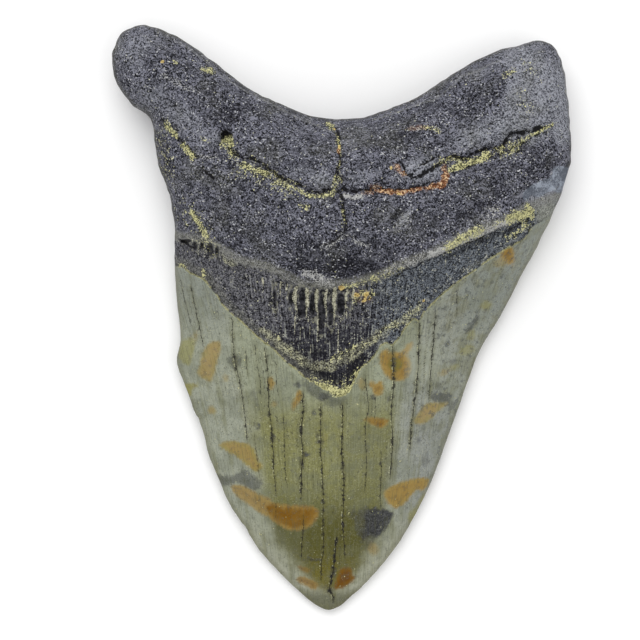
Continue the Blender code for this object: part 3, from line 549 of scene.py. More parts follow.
def grain(points, size, seed):
    """Smooth random heights between -1 and 1, with lumps of the given size (X, Y)."""
    sx, sy = size if isinstance(size, tuple) else (size, size)
    turn = 0.0 if isinstance(size, tuple) else 0.7 * seed
    x = points[:, 0] * math.cos(turn) - points[:, 1] * math.sin(turn)
    y = points[:, 0] * math.sin(turn) + points[:, 1] * math.cos(turn)
    side = 256
    table = np.random.default_rng(seed).uniform(-1, 1, (side, side))
    x, y = x / sx + 100, y / sy + 100
    i, j = np.floor(x).astype(int), np.floor(y).astype(int)
    fx, fy = x - i, y - j
    fx, fy = fx * fx * (3 - 2 * fx), fy * fy * (3 - 2 * fy)
    i, j, i1, j1 = i % side, j % side, (i + 1) % side, (j + 1) % side
    low = table[i, j] * (1 - fx) + table[i1, j] * fx
    high = table[i, j1] * (1 - fx) + table[i1, j1] * fx
    return low * (1 - fy) + high * fy


def along_growth(points):
    """Places measured along the growth of the enamel, whose lines run apart towards the root."""
    x, y = points.T
    return np.column_stack([x * (1 - GROWTH_FAN * y), y])


def line_gap(line, points, closed=False):
    """From each point to a polyline: the distance, the side (positive to its left) and the place
    along it (0 at its start, 1 at its end)."""
    ends = np.roll(line, -1, 0) if closed else line[1:]
    starts = line if closed else line[:-1]
    run = lengths(ends - starts)
    best = np.full(len(points), np.inf)
    side = np.ones(len(points))
    along = np.zeros(len(points))
    for k, (a, b) in enumerate(zip(starts, ends)):
        ab = b - a
        rel = points - a
        t = np.clip((rel @ ab) / max(ab @ ab, TINY), 0, 1)
        gap = np.hypot(rel[:, 0] - t * ab[0], rel[:, 1] - t * ab[1])
        closer = gap < best
        best = np.where(closer, gap, best)
        turn = np.sign(ab[0] * rel[:, 1] - ab[1] * rel[:, 0])
        side = np.where(closer, turn, side)
        along = np.where(closer, (run[k] + t * (run[k + 1] - run[k])) / run[-1], along)
    return best, side, along


def near_only(line, points, reach):
    """The numbers of the points that lie within reach of a polyline's box."""
    low, high = line.min(0) - reach, line.max(0) + reach
    return np.flatnonzero(((points > low) & (points < high)).all(1))


def level_gap(line, points):
    """Signed distance to a line that runs from left to right: positive above it."""
    path = curve(line, steps=FINE_STEPS)
    gap, _, _ = line_gap(path, points)
    above = points[:, 1] > np.interp(points[:, 0], path[:, 0], path[:, 1])
    return np.where(above, gap, -gap)


def spot_radius(points, x, y, a, b, turn):
    """Distance from an ellipse's centre, as a share of its radius."""
    c, s = math.cos(math.radians(turn)), math.sin(math.radians(turn))
    u = ((points[:, 0] - x) * c + (points[:, 1] - y) * s) / a
    v = ((points[:, 1] - y) * c - (points[:, 0] - x) * s) / b
    return np.hypot(u, v)


def spot_depth(points, x, y, a, b, turn):
    """How deep each point lies in an ellipse, in mm; it is negative outside."""
    return (1 - spot_radius(points, x, y, a, b, turn)) * min(a, b)


def outline_depth(points, outline):
    """How deep each point lies in a closed outline, in mm; it is negative outside."""
    path = curve(outline, closed=True, steps=COARSE_STEPS)
    depth = np.full(len(points), -STAIN_REACH)
    close = near_only(path, points, STAIN_REACH)
    x, y = points[close].T
    gap, _, _ = line_gap(path, points[close], closed=True)
    inside = np.zeros(len(close), bool)
    for (x0, y0), (x1, y1) in zip(path, np.roll(path, -1, 0)):
        if y0 != y1:
            inside ^= ((y0 > y) != (y1 > y)) & (x < (x1 - x0) * (y - y0) / (y1 - y0) + x0)
    depth[close] = np.where(inside, gap, -gap)
    return np.maximum(depth, -STAIN_REACH)


class Stains:
    """The deepest stain at each point: its depth in mm, its tone and its strength."""

    def __init__(self, points):
        self.points = points
        self.depth = np.full(len(points), -STAIN_REACH)
        self.tone = np.zeros(len(points))
        self.strength = np.zeros(len(points))

    def lay(self, depth, tone, strength):
        """Adds one stain; where two meet, the tones and strengths pass softly into each other."""
        share = smooth(-0.6, 0.6, depth - self.depth)
        self.tone += (tone - self.tone) * share
        self.strength += (strength - self.strength) * share
        self.depth = np.maximum(depth, self.depth)

    def outlines(self, rows):
        for tone, strength, outline in rows:
            self.lay(outline_depth(self.points, outline), tone, strength)
        return self

    def spots(self, rows, strength=None):
        for *ellipse, value in rows:
            depth = spot_depth(self.points, *ellipse)
            self.lay(depth, value, value if strength is None else strength)
        return self


def cover(points, paths):
    """The share of the surface covered, near the given (share, half width, points) paths."""
    share = np.zeros(len(points))
    for most, half, path in paths:
        line = curve(path, steps=COARSE_STEPS)
        close = near_only(line, points, 3 * half)
        gap, _, _ = line_gap(line, points[close])
        share[close] = np.maximum(share[close], most * bump(gap, half * 1.15))
    return share


# ---------------------------------------------------------------- the grid


def coons(low, high, left, right):
    """Grid of points between four joined sides; rows go from low to high."""
    v = np.linspace(0, 1, len(left))
    v = (np.hypot(*(left - left[0]).T) / np.hypot(*(left[-1] - left[0])) + v) / 2
    u = lengths(np.diff(low, axis=0))
    u = (u / u[-1])[None, :, None]
    v = v[:, None, None]
    return (
        (1 - v) * low[None]
        + v * high[None]
        + (1 - u) * left[:, None]
        + u * right[:, None]
        - (1 - u) * (1 - v) * low[0]
        - u * (1 - v) * low[-1]
        - (1 - u) * v * high[0]
        - u * v * high[-1]
    )


def worn_outline():
    """The outline, a little uneven: more so along the root than along the cutting edges, which
    have small nicks."""
    line = curve(TIP + RIGHT_EDGE + ROOT_TOP + LEFT_EDGE, closed=True)
    way = np.roll(line, -1, 0) - np.roll(line, 1, 0)
    out = np.column_stack([way[:, 1], -way[:, 0]]) / np.hypot(*way.T)[:, None]
    root = smooth(8, 24, line[:, 1])
    push = (0.05 + 0.09 * root) * grain(line, 1.3, 61) + (0.04 + 0.10 * root) * grain(line, 3.4, 62)
    push -= 0.22 * (1 - root) * smooth(0.72, 0.9, grain(line, 1.6, 63))
    return line + out * push[:, None]


def row_places(band, rows):
    """Where a band's rows lie between its two ends; they crowd at the tip and at the root's top."""
    v = np.linspace(0, 1, rows + 1)
    if band == 0:
        return 0.75 * v + 0.25 * v**2
    if band == len(ROWS) - 1:
        return 1 - (0.6 * (1 - v) + 0.4 * (1 - v) ** 2)
    return v


def plan():
    """The outline and the grid of plan positions, rows from the tip to the root's top."""
    outline = worn_outline()
    starts = np.cumsum([len(part) for part in (TIP, RIGHT_EDGE, ROOT_TOP)]) * CURVE_STEPS
    right_start, top_start, top_end = starts.tolist()
    tip = outline[: right_start + 1]
    right = outline[right_start : top_start + 1]
    top = outline[top_start : top_end + 1][::-1]
    left = np.vstack([outline[top_end:], outline[:1]])[::-1]

    even = np.linspace(0, 1, COLUMNS + 1)
    across = 0.6 * even + 0.4 * (1 - np.cos(math.pi * even)) / 2
    lines = [walk(tip, even)]
    cuts = [(0, 0)]
    for level in (ENAMEL_LINE, ROOT_LINE, FURROW_LINE):
        i, j = nearest(left, level[0]), nearest(right, level[-1])
        cuts.append((i, j))
        lines.append(walk(curve([left[i]] + level[1:-1] + [right[j]]), across))
    cuts.append((len(left) - 1, len(right) - 1))
    lines.append(walk(top, across))

    bands = []
    for k, rows in enumerate(ROWS):
        v = row_places(k, rows)
        (i0, j0), (i1, j1) = cuts[k], cuts[k + 1]
        sides = walk(left[i0 : i1 + 1], v), walk(right[j0 : j1 + 1], v)
        band = coons(lines[k], lines[k + 1], *sides)
        bands.append(band if k == 0 else band[1:])
    return outline, np.vstack(bands)


# ---------------------------------------------------------------- the two faces


def smooth_lingual(points, edge):
    """Heights of the lingual face without its relief: a rounded crest that falls to the rim."""
    x, y = points.T
    rim = lookup(EDGE_HEIGHT, y)
    middle = bump(x - CREST_X, lookup(CREST_WIDTH, y))
    top = lookup(FLANK, y) + (lookup(CREST, y) - lookup(FLANK, y)) * middle
    q = np.clip(edge / lookup(LINGUAL_FALL, y), 0, 1)
    rise = (q * (2 - q)) ** lookup(ROUNDNESS, y)
    return rim + RIM / 2 + (top - rim - RIM / 2) * rise


def smooth_labial(points, edge):
    """Heights of the labial face without its relief: flat, with a shallow hollow under the root."""
    x, y = points.T
    rim = lookup(EDGE_HEIGHT, y)
    q = np.clip(edge / lookup(LABIAL_FALL, y), 0, 1)
    fall = (q * (2 - q)) ** lookup(ROUNDNESS, y)
    hollow = np.exp(-(((x - 2) / 26) ** 2) - ((y - 21) / 13) ** 2)
    return (rim - RIM / 2) * (1 - fall) + np.maximum(0, 1.3 * (hollow * 1.25 - 0.25))


def bone_relief(points, smoothness):
    """Heights of the root's sandy, porous bone: broad swells, and grains with pores."""
    swells = 0.22 * grain(points, 8.0, 1) + 0.14 * grain(points, 3.2, 2)
    grains = 0.09 * grain(points, 1.3, 3) + 0.10 * grain(points, 0.75, 4) + 0.05 * grain(points, 0.45, 6)
    pores = 0.22 * smooth(0.40, 0.8, grain(points, 1.1, 5))
    rough = 1 - 0.6 * smoothness
    return swells, (grains - pores) * rough, np.maximum(0, (pores - grains) * rough)


def crack_field(points, cracks):
    """Signed distance to the nearest long crack, its size, and how dark the crack is there."""
    side = np.full(len(points), CRACK_REACH)
    near = np.full(len(points), CRACK_REACH)
    dark = np.zeros(len(points))
    for strength, crack in cracks:
        path = curve(crack)[::-1]
        x = np.interp(points[:, 1], path[:, 1], path[:, 0])
        low, high = path[0, 1], path[-1, 1]
        beyond = np.maximum(np.maximum(low - points[:, 1], points[:, 1] - high), 0)
        offset = points[:, 0] - x
        gap = np.hypot(offset, beyond)
        closer = gap < near
        near = np.where(closer, gap, near)
        side = np.where(closer, offset, side)
        taper = smooth(0, 2.5, points[:, 1] - low) * smooth(-0.3, 0.8, high - points[:, 1])
        dark = np.where(closer, strength * taper, dark)
    return side, near, dark


def fissure_field(points):
    """Heights of the root's fissures, with the lips that have sunk beside them, and how deep each
    point is in the painted shade of one, in mm."""
    heights = np.zeros(len(points))
    dark = np.full(len(points), -1.0)
    for depth, half, lip, dark_half, path in FISSURES:
        line = curve(path, steps=FINE_STEPS)
        close = near_only(line, points, 9.0)
        here = points[close]
        shaken = here + 0.30 * np.column_stack([grain(here, 1.1, 27), grain(here, 1.1, 28)])
        gap, side, along = line_gap(line, shaken)
        taper = smooth(0, 0.10, along) * smooth(0, 0.10, 1 - along)
        uneven = 1 + 0.35 * grain(here, 1.5, 21) + 0.35 * grain(here, 0.7, 22)
        sunken = smooth(0.3, -0.3, gap * side) * np.exp(-gap / 2.2)
        cut = depth * bump(gap, half * uneven) * (0.4 + 0.6 * taper) + lip * sunken * taper
        heights[close] -= cut
        inside = dark_half * uneven * (0.35 + 0.65 * taper) - gap
        dark[close] = np.maximum(dark[close], np.maximum(inside, -1.0))
    return heights, dark


def rib_field(points):
    """How deep each point is in a pale rib of the bourlette, in mm."""
    inside = np.full(len(points), -0.6)
    for half, path in RIBS:
        line = curve(path, steps=FINE_STEPS)
        close = near_only(line, points, 1.5)
        here = points[close]
        gap, _, along = line_gap(line, here)
        width = half * (0.80 - 0.60 * smooth(0.1, 0.65, along)) * (1 + 0.45 * grain(here, 0.9, 33))
        width = np.where(along > 0.999, -0.1, width)
        inside[close] = np.maximum(inside[close], width - gap)
    return inside


def pit_field(points):
    """How deep each point is in one of the bourlette's dark pits, in mm."""
    inside = np.full(len(points), -0.6)
    for x, y, tall, half in PITS:
        wide = half * (1 + 0.25 * grain(points, 0.9, 35))
        u, v = abs(points[:, 0] - x) / wide, abs(points[:, 1] - y) / tall
        inside = np.maximum(inside, (1 - (u**3 + v**3) ** (1 / 3)) * half)
    return inside


def bevel_field(points):
    """Heights of the bevel along the root's upper edge, and how near each point is to its crest, where a
    highlight is painted.
    """
    heights, crest = np.zeros(len(points)), np.zeros(len(points))
    for bevel in BEVELS:
        gap, _, along = line_gap(curve(bevel, steps=FINE_STEPS), points)
        near_ends = np.minimum(along, 1 - along)
        inside = bump(gap, 0.35 + 0.1 * grain(points, 2.0, 24)) * smooth(0, 0.05, near_ends)
        crest = np.maximum(crest, inside)
        heights += 0.22 * inside - 0.25 * bump(gap - 1.0, 0.7) * smooth(0, 0.1, near_ends)
    return heights, crest


def root_details(points, root, inland, tone_and_shade):
    """The root's broad swells, its relief and what its finish needs: sandy bone, fissures, the
    nutrient hole, a dimple, the bevelled upper edge and the flaked right edge."""
    x, y = points.T
    swells, relief, pores = bone_relief(points, np.clip(tone_and_shade, 0, 1))
    relief = relief * root
    cuts, fissure_shade = fissure_field(points)
    relief += cuts * (0.5 + 0.5 * inland)
    hole = np.hypot(x - FORAMEN[0], y - FORAMEN[1])
    relief -= 2.0 * (1 - smooth(0.7, 1.6, hole))
    relief += 0.9 * bump(np.hypot(x - FORAMEN[0] - 0.5, y - FORAMEN[1] + 0.7), 0.9)
    relief -= 0.75 * smooth(-0.3, 1.2, spot_depth(points, *DIMPLE))
    bevels, crest = bevel_field(points)
    flake = outline_depth(points, FLAKE)
    layers = np.floor(np.clip(flake + 0.4 * grain(points, 1.2, 25), 0, 1.2) / 0.4)
    relief += bevels - LAYER * layers
    look = {
        # painted shade: how deep a point is in the black of a fissure or of the nutrient hole
        "fissure_shade": np.maximum(fissure_shade, 1.25 - hole),
        # pores, in which the finish paints shade
        "pores": pores * root,
        "flake": flake,
        "crest": crest,
    }
    return root * swells, relief, look


def neck_details(points, band, root_side):
    """The bourlette's relief and what its finish needs: strands along the growth, pits between
    ribs, a ridge below them, a slot at the right and a small knob at the left."""
    x = points[:, 0]
    growth = along_growth(points)
    strands = 0.07 * grain(growth, (0.55, 5.0), 31) + 0.07 * grain(growth, (1.3, 8.0), 32)
    pit, rib = pit_field(points), rib_field(points)
    ridge_gap, _, _ = line_gap(curve(LOWER_RIDGE, steps=FINE_STEPS), points)
    ridge = bump(ridge_gap + 0.30 * grain(points, 1.3, 36), 1.0 + 0.35 * bump(x + 3.0, 8.0))
    slot = bump(root_side + 1.2, 1.0) * smooth(16.5, 23, x) * smooth(37.8, 34.8, x)
    knob = spot_depth(points, *KNOB)
    moat = bump(knob + 0.45, 0.4)

    relief = band * (strands + 0.06 * grain(points, 0.6, 34))
    relief -= 0.6 * smooth(0, 0.4, pit) + 0.3 * slot
    relief += 0.20 * smooth(-0.1, 0.25, rib) + 0.28 * ridge
    relief += 0.55 * smooth(-0.2, 0.7, knob) - 0.3 * bump(knob + 0.45, 0.35)
    look = {
        "pit": pit,
        "rib": rib,
        "ridge": np.maximum(ridge, smooth(-0.2, 0.5, knob)),
        "slot": np.maximum(slot, 0.7 * moat),
        "sediment": (0.14 + 0.18 * smooth(-3, 3, x)) * ridge,
    }
    return relief, look


def sediment_field(points, enamel_side):
    """The share covered by sediment, in the hollows and as a crust in the bourlette's point."""
    x = points[:, 0]
    reach = lookup(CRUST, x)
    crust = smooth(reach + 0.3, reach - 0.2, -enamel_side) * smooth(0.3, 0.0, enamel_side)
    return np.maximum(cover(points, SEDIMENT), 0.95 * crust * smooth(6.5, 5, abs(x)))


def lingual_face(points, edge):
    """Heights of the lingual face and what its finish needs to know."""
    x, y = points.T
    growth = along_growth(points)
    inland = smooth(0.3, 3.0, edge)
    root_side = level_gap(ROOT_LINE, points)
    enamel_side = -level_gap(ENAMEL_EDGE, points)
    root = smooth(-0.5, 0.6, root_side + 0.4 * grain(points, 1.8, 11) + 0.2 * grain(points, 0.7, 12))
    ragged = 0.15 * grain(points, 1.4, 13) + 0.10 * grain(points, 0.6, 14)
    crown = smooth(-0.15, 0.25, enamel_side + ragged)
    band = (1 - root) * (1 - crown)
    tone_and_shade = sum(row[5] * bump(spot_radius(points, *row[:5]), 1.0) for row in PATCHES)

    swells, root_relief, root_look = root_details(points, root, inland, tone_and_shade)
    neck_relief, neck_look = neck_details(points, band, root_side)
    crack_side, crack_near, crack_dark = crack_field(points, ENAMEL_CRACKS)
    crack_dark = crack_dark * smooth(-0.2, 0.4, enamel_side)
    cracks = 0.08 * crown * crack_dark * bump(crack_near, 0.25)
    waves = crown * (0.05 * grain(growth, (2.2, 25.0), 41) + 0.03 * grain(points, 3.0, 42))
    furrow_gap, _, _ = line_gap(curve(FURROW_LINE[2:]), points)
    furrow = 0.9 * bump(furrow_gap, 2.4)
    brows = 0.35 * bump(root_side - 1.2, 1.1) * root + 0.18 * bump(enamel_side - 0.5, 0.5)

    z = smooth_lingual(points, edge) - 0.50 * band * smooth(0.3, 2.0, edge)
    z += (brows + swells + waves - furrow) * inland
    z += (root_relief + neck_relief - cracks) * smooth(0.0, 1.0, edge)

    margin = lookup(MARGIN, y) + 3.0 * smooth(6, 20, x) * smooth(-46, -30, y)
    streaks = 0.7 * grain(growth, (2.0, 12.0), 43)
    ochre = Stains(points).outlines(OCHRE_STAINS).spots(OCHRE_SPOTS, 0.5)
    grey = Stains(points).outlines([(1, *row) for row in GREY_STAINS]).spots(GREY_SPOTS)
    rust = Stains(points).spots(RUST_SPOTS)
    look = {
        **root_look,
        **neck_look,
        "root_side": root_side,
        "enamel_side": enamel_side,
        "crack_side": crack_side,
        "crack_near": crack_near,
        "crack_dark": crack_dark,
        "sediment": np.maximum(neck_look["sediment"], sediment_field(points, enamel_side)),
        "pale": cover(points, PALE),
        "swirl": spot_depth(points, *SWIRL),
        "tone_and_shade": tone_and_shade,
        "core": smooth(-2.0, lookup(MARGIN_BLEND, y) + 0.6, edge - margin + streaks),
        "ochre": ochre.depth,
        "ochre_tone": ochre.tone,
        "ochre_strength": ochre.strength,
        "grey": grey.depth,
        "grey_strength": grey.strength,
        "rust": rust.depth,
        "rust_strength": rust.strength,
        "gold": Stains(points).spots(GOLD_SPOTS).depth,
    }
    return z, look


def labial_face(points, edge):
    """Heights of the flat labial face, which the tooth lies on, and what its finish needs to know.
    Its relief only goes inwards, because the crown bears on the floor. Its cracks and stains are
    some of the lingual ones, mirrored and moved a little."""
    y = points[:, 1]
    growth = along_growth(points)
    inland = smooth(0.3, 3.0, edge)
    root_side = level_gap(LABIAL_LINE, points)
    root = smooth(-0.3, 0.5, root_side + 0.35 * grain(points, 1.6, 51))
    swells, relief, pores = bone_relief(points + 40, np.zeros(len(points)))
    z = smooth_labial(points, edge)
    z += root * np.maximum(0, swells + 0.15) * inland
    z += (0.35 * root + 0.06 * (1 - root) * (1 + grain(points, 3.0, 52))) * inland
    z -= 0.5 * relief * root * smooth(0.0, 1.0, edge)

    cracks = [(dark, [(-1.5 - 0.9 * a, 2.5 + 0.95 * b) for a, b in crack])
              for dark, crack in ENAMEL_CRACKS[::2]]
    crack_side, crack_near, crack_dark = crack_field(points, cracks)
    stains = [(tone, 0.8 * strength, [(-0.9 * a, 0.9 * b - 1) for a, b in outline])
              for tone, strength, outline in OCHRE_STAINS[::2]]
    ochre = Stains(points).outlines(stains)
    grey = Stains(points).spots([(-a, b + 5, *rest) for a, b, *rest in GREY_SPOTS[::3]])
    margin = lookup(MARGIN, y) + 0.8 * grain(growth, (2.0, 12.0), 53)
    core = smooth(-1.5, lookup(MARGIN_BLEND, y) + 2.5, edge - margin) * smooth(0.0, 9.0, -root_side)
    absent = dict.fromkeys(["ridge", "slot", "pale", "crest", "rust_strength"], np.zeros(len(points)))
    far_off = np.full(len(points), -STAIN_REACH)
    look = {
        **absent,
        **dict.fromkeys(["fissure_shade", "pit", "rib", "swirl", "flake", "rust", "gold"], far_off),
        "root_side": root_side,
        "enamel_side": -root_side,
        "crack_side": crack_side,
        "crack_near": crack_near,
        "crack_dark": crack_dark * (root_side < 0),
        "pores": pores * root,
        "sediment": 0.6 * bump(root_side, 0.5),
        "tone_and_shade": 0.5 * grain(points, 9.0, 54),
        "core": core,
        "ochre": ochre.depth,
        "ochre_tone": ochre.tone,
        "ochre_strength": ochre.strength,
        "grey": grey.depth,
        "grey_strength": grey.strength,
    }
    return np.maximum(z, 0.0), look


# ---------------------------------------------------------------- the skin


def ring(rows, columns):
    """Indices of a grid's border, counter-clockwise from its first corner."""
    bottom = list(range(columns))
    right = [i * columns + columns - 1 for i in range(1, rows)]
    top = [(rows - 1) * columns + j for j in range(columns - 2, -1, -1)]
    left = [i * columns for i in range(rows - 2, 0, -1)]
    return bottom + right + top + left


def grid_faces(rows, columns):
    """The squares of a grid, as rows of four indices."""
    i, j = np.meshgrid(np.arange(rows - 1), np.arange(columns - 1), indexing="ij")
    a = (i * columns + j).ravel()
    return np.column_stack([a, a + 1, a + columns + 1, a + columns])


def stitch(upper, lower):
    """Triangles that join the fine border to the coarse one, three for each step of the coarse one,
    and the places of their corners on the unfolded map."""
    faces, flat = [], []
    for k in range(len(lower)):
        a, b, c = ((upper[(2 * k + n) % len(upper)], (RIM_MAP[0], k + n / 2)) for n in range(3))
        d, e = ((lower[(k + n) % len(lower)], (RIM_MAP[1], k + n)) for n in range(2))
        for corners in ((d, b, a), (d, e, b), (e, c, b)):
            faces.append([index for index, _ in corners])
            flat += [place for _, place in corners]
    return faces, np.array(flat) * (1, MAP_HEIGHT / len(lower)) + (0, MAP_MARGIN)


def unfold(mesh, places, rim_flat):
    """Unfolds the surface on a map: the lingual face on its left half, the labial face on its right
    half, and the rim as a narrow strip between them."""
    low, high = places.min(0)[:2], places.max(0)[:2]
    across, up = ((places[:, :2] - low) / (high - low)).T
    corners = np.zeros(len(mesh.loops), dtype=np.int32)
    mesh.loops.foreach_get("vertex_index", corners)
    labial = corners >= (sum(ROWS) + 1) * (COLUMNS + 1)
    across = MAP_MARGIN + FACE_MAP_WIDTH * across[corners]
    flat = np.column_stack([np.where(labial, 1 - across, across), MAP_MARGIN + MAP_HEIGHT * up[corners]])
    flat[-len(rim_flat) :] = rim_flat
    layer = mesh.uv_layers.new(name="OFBake")
    layer.data.foreach_set("uv", flat.astype(np.float32).ravel())


def fit_to_node(places):
    """Moves and stretches the skin a little, so that it fills the node's box but gets no thicker."""
    low, high = (np.array(corner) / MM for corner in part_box("megalodon_tooth"))
    own_low, own_high = places.min(0), places.max(0)
    fit = (high - low) / (own_high - own_low)
    fit[2] = min(1.0, fit[2])
    centre = (own_low + own_high) / 2
    places[:, :2] = (places[:, :2] - centre[:2]) * fit[:2] + ((low + high) / 2)[:2]
    places[:, 2] = places[:, 2] * fit[2]


def build_tooth():
    """The whole tooth as one closed skin, with what its finish needs in its attributes."""
    outline, grid = plan()
    fine = grid.reshape(-1, 2)
    coarse = grid[::2, ::2].reshape(-1, 2)
    rows, columns = grid.shape[:2]
    rows2, columns2 = (rows + 1) // 2, (columns + 1) // 2
    upper, lower = ring(rows, columns), ring(rows2, columns2)

    edge, _, _ = line_gap(outline, fine, closed=True)
    edge[upper] = 0.0
    edge2 = edge.reshape(rows, columns)[::2, ::2].ravel()
    z, look = lingual_face(fine, edge)
    z2, look2 = labial_face(coarse, edge2)
    z2[lower] = lookup(EDGE_HEIGHT, coarse[lower][:, 1]) - RIM / 2
    places = np.vstack([np.column_stack([fine, z]), np.column_stack([coarse, z2])])
    fit_to_node(places)

    top_faces = grid_faces(rows, columns)
    under_faces = grid_faces(rows2, columns2)[:, ::-1] + len(fine)
    rim_faces, rim_flat = stitch(upper, [k + len(fine) for k in lower])
    mesh = bpy.data.meshes.new("tooth_surface")
    faces = top_faces.tolist() + under_faces.tolist() + rim_faces
    mesh.from_pydata((places * MM).tolist(), [], faces)
    mesh.polygons.foreach_set("use_smooth", [True] * len(mesh.polygons))
    unfold(mesh, places, rim_flat)

    look["edge"], look2["edge"] = edge, edge2
    for name in look:
        values = np.concatenate([look[name], look2[name]]).astype(np.float32)
        layer = mesh.attributes.new(name, "FLOAT", "POINT")
        layer.data.foreach_set("value", values)
    tooth = bpy.data.objects.new("tooth_surface", mesh)
    bpy.context.scene.collection.objects.link(tooth)
    return tooth


# ---------------------------------------------------------------- finishes


class Wire:
    """A shader socket that can be used in arithmetic."""

    def __init__(self, board, socket):
        self.board = board
        self.socket = socket

    def math(self, operation, *parts):
        return self.board.add("ShaderNodeMath", {"operation": operation}, dict(enumerate(parts)))

    def __add__(self, other):
        return self.math("ADD", self, other)

    def __radd__(self, other):
        return self.math("ADD", other, self)

    def __sub__(self, other):
        return self.math("SUBTRACT", self, other)

    def __rsub__(self, other):
        return self.math("SUBTRACT", other, self)

    def __mul__(self, other):
        return self.math("MULTIPLY", self, other)

    def __rmul__(self, other):
        return self.math("MULTIPLY", other, self)

    def __pow__(self, other):
        return self.math("POWER", self, other)

    def __abs__(self):
        return self.math("ABSOLUTE", self)


class Board:
    """A material's node tree."""

    def __init__(self, name):
        self.material = bpy.data.materials.new(name)
        self.material.use_nodes = True
        self.tree = self.material.node_tree
        self.shader = self.tree.nodes["Principled BSDF"]

    def add(self, kind, settings=None, sockets=None, out=0):
        """Adds a node: its type, its settings, and the values or wires of its sockets."""
        node = self.tree.nodes.new(kind)
        for name, value in (settings or {}).items():
            setattr(node, name, value)
        for key, value in (sockets or {}).items():
            self.plug(node.inputs[key], value)
        return Wire(self, node.outputs[out])

    def plug(self, socket, value):
        if isinstance(value, Wire):
            self.tree.links.new(value.socket, socket)
        else:
            socket.default_value = value

    def finish(self, **sockets):
        """Plugs the material's own sockets and gives the material back."""
        for name, value in sockets.items():
            self.plug(self.shader.inputs[name.replace("_", " ")], value)
        return self.material

    def field(self, name):
        """What the skin's attribute of that name says of a place."""
        return self.add("ShaderNodeAttribute", {"attribute_name": name}, out="Fac")

    def ramp(self, value, low, high):
        """0 below low, 1 above high, smooth between; falls instead if low is above high."""
        if low > high:
            return 1 - self.ramp(value, high, low)
        sockets = {"Value": value, "From Min": low, "From Max": high}
        return self.add("ShaderNodeMapRange", {"interpolation_type": "SMOOTHSTEP"}, sockets)

    def mix(self, amount, first, second):
        """The first colour at amount 0 and the second at 1."""
        return self.add("ShaderNodeMix", {"data_type": "RGBA"}, {0: amount, 6: first, 7: second}, 2)

    def noise(self, place, size, detail=2.0, roughness=0.6):
        """Random values around 0.5, with lumps of the given size."""
        sockets = {"Vector": place, "Scale": 1 / size, "Detail": detail, "Roughness": roughness}
        return self.add("ShaderNodeTexNoise", {}, sockets, "Fac")

    def combined(self, x, y, z):
        return self.add("ShaderNodeCombineXYZ", {}, {0: x, 1: y, 2: z})

    def moved(self, place, *by):
        return self.add("ShaderNodeVectorMath", {"operation": "ADD"}, {0: place, 1: by})


def shade(red, green, blue):
    """A colour given as it looks on a screen, 0 to 255."""
    parts = [v / 255 for v in (red, green, blue)]
    linear = [v / 12.92 if v <= 0.04045 else ((v + 0.055) / 1.055) ** 2.4 for v in parts]
    return (*linear, 1.0)


class Place:
    """Where the finish is on the tooth, in mm, and the noises that every part of it shares."""

    def __init__(self, b):
        self.board = b
        metres = b.add("ShaderNodeTexCoord", out="Object")
        self.mm = b.add("ShaderNodeVectorMath", {"operation": "SCALE"}, {0: metres, "Scale": 1 / MM})
        self.x = b.add("ShaderNodeSeparateXYZ", {}, {0: self.mm}, "X")
        self.y = b.add("ShaderNodeSeparateXYZ", {}, {0: self.mm}, "Y")
        self.sand = b.noise(self.mm, 0.25, 1.0)
        self.grit = b.noise(b.moved(self.mm, 31.0, 7.0, 3.0), 0.36, 1.0, 0.5)
        cells = b.add("ShaderNodeTexVoronoi", {}, {"Vector": self.mm, "Scale": 1 / 0.23}, "Color")
        self.grains = b.add("ShaderNodeSeparateColor", {}, {0: cells}, "Red")
        self.small = b.noise(self.mm, 0.9, 3.0)
        self.clumps = b.noise(b.moved(self.mm, 3.0, 17.0, 9.0), 1.3)
        self.lumps = b.noise(self.mm, 2.6, roughness=0.5)
        self.broad = b.noise(self.mm, 8.0, roughness=0.5)
        growth = b.combined(self.x * (1 - self.y * GROWTH_FAN), self.y * 0.06, 0.0)
        self.hairs = b.noise(growth, 0.30)
        self.bands = b.noise(growth, 1.6)
        self.ragged = (self.small - 0.5) * 1.2 + (self.sand - 0.5) * 0.8
        self.even = b.ramp(self.sand * 0.6 + self.small * 0.4, 0.36, 0.64)


class Paint:
    """A colour built up coat by coat, on a ground where the first colour gives way to the second. A
    colour is a shade, as (red, green, blue), or another paint."""

    def __init__(self, at, amount, first, second):
        self.at = at
        self.wire = at.board.mix(amount, self.ready(first), self.ready(second))

    @staticmethod
    def ready(colour):
        return colour.wire if isinstance(colour, Paint) else shade(*colour)

    def coat(self, amount, *colours):
        """Lays on a share of one colour, or of two in a fine mottle."""
        over = Paint(self.at, self.at.even, *colours) if len(colours) == 2 else colours[0]
        self.wire = self.at.board.mix(amount, self.wire, self.ready(over))


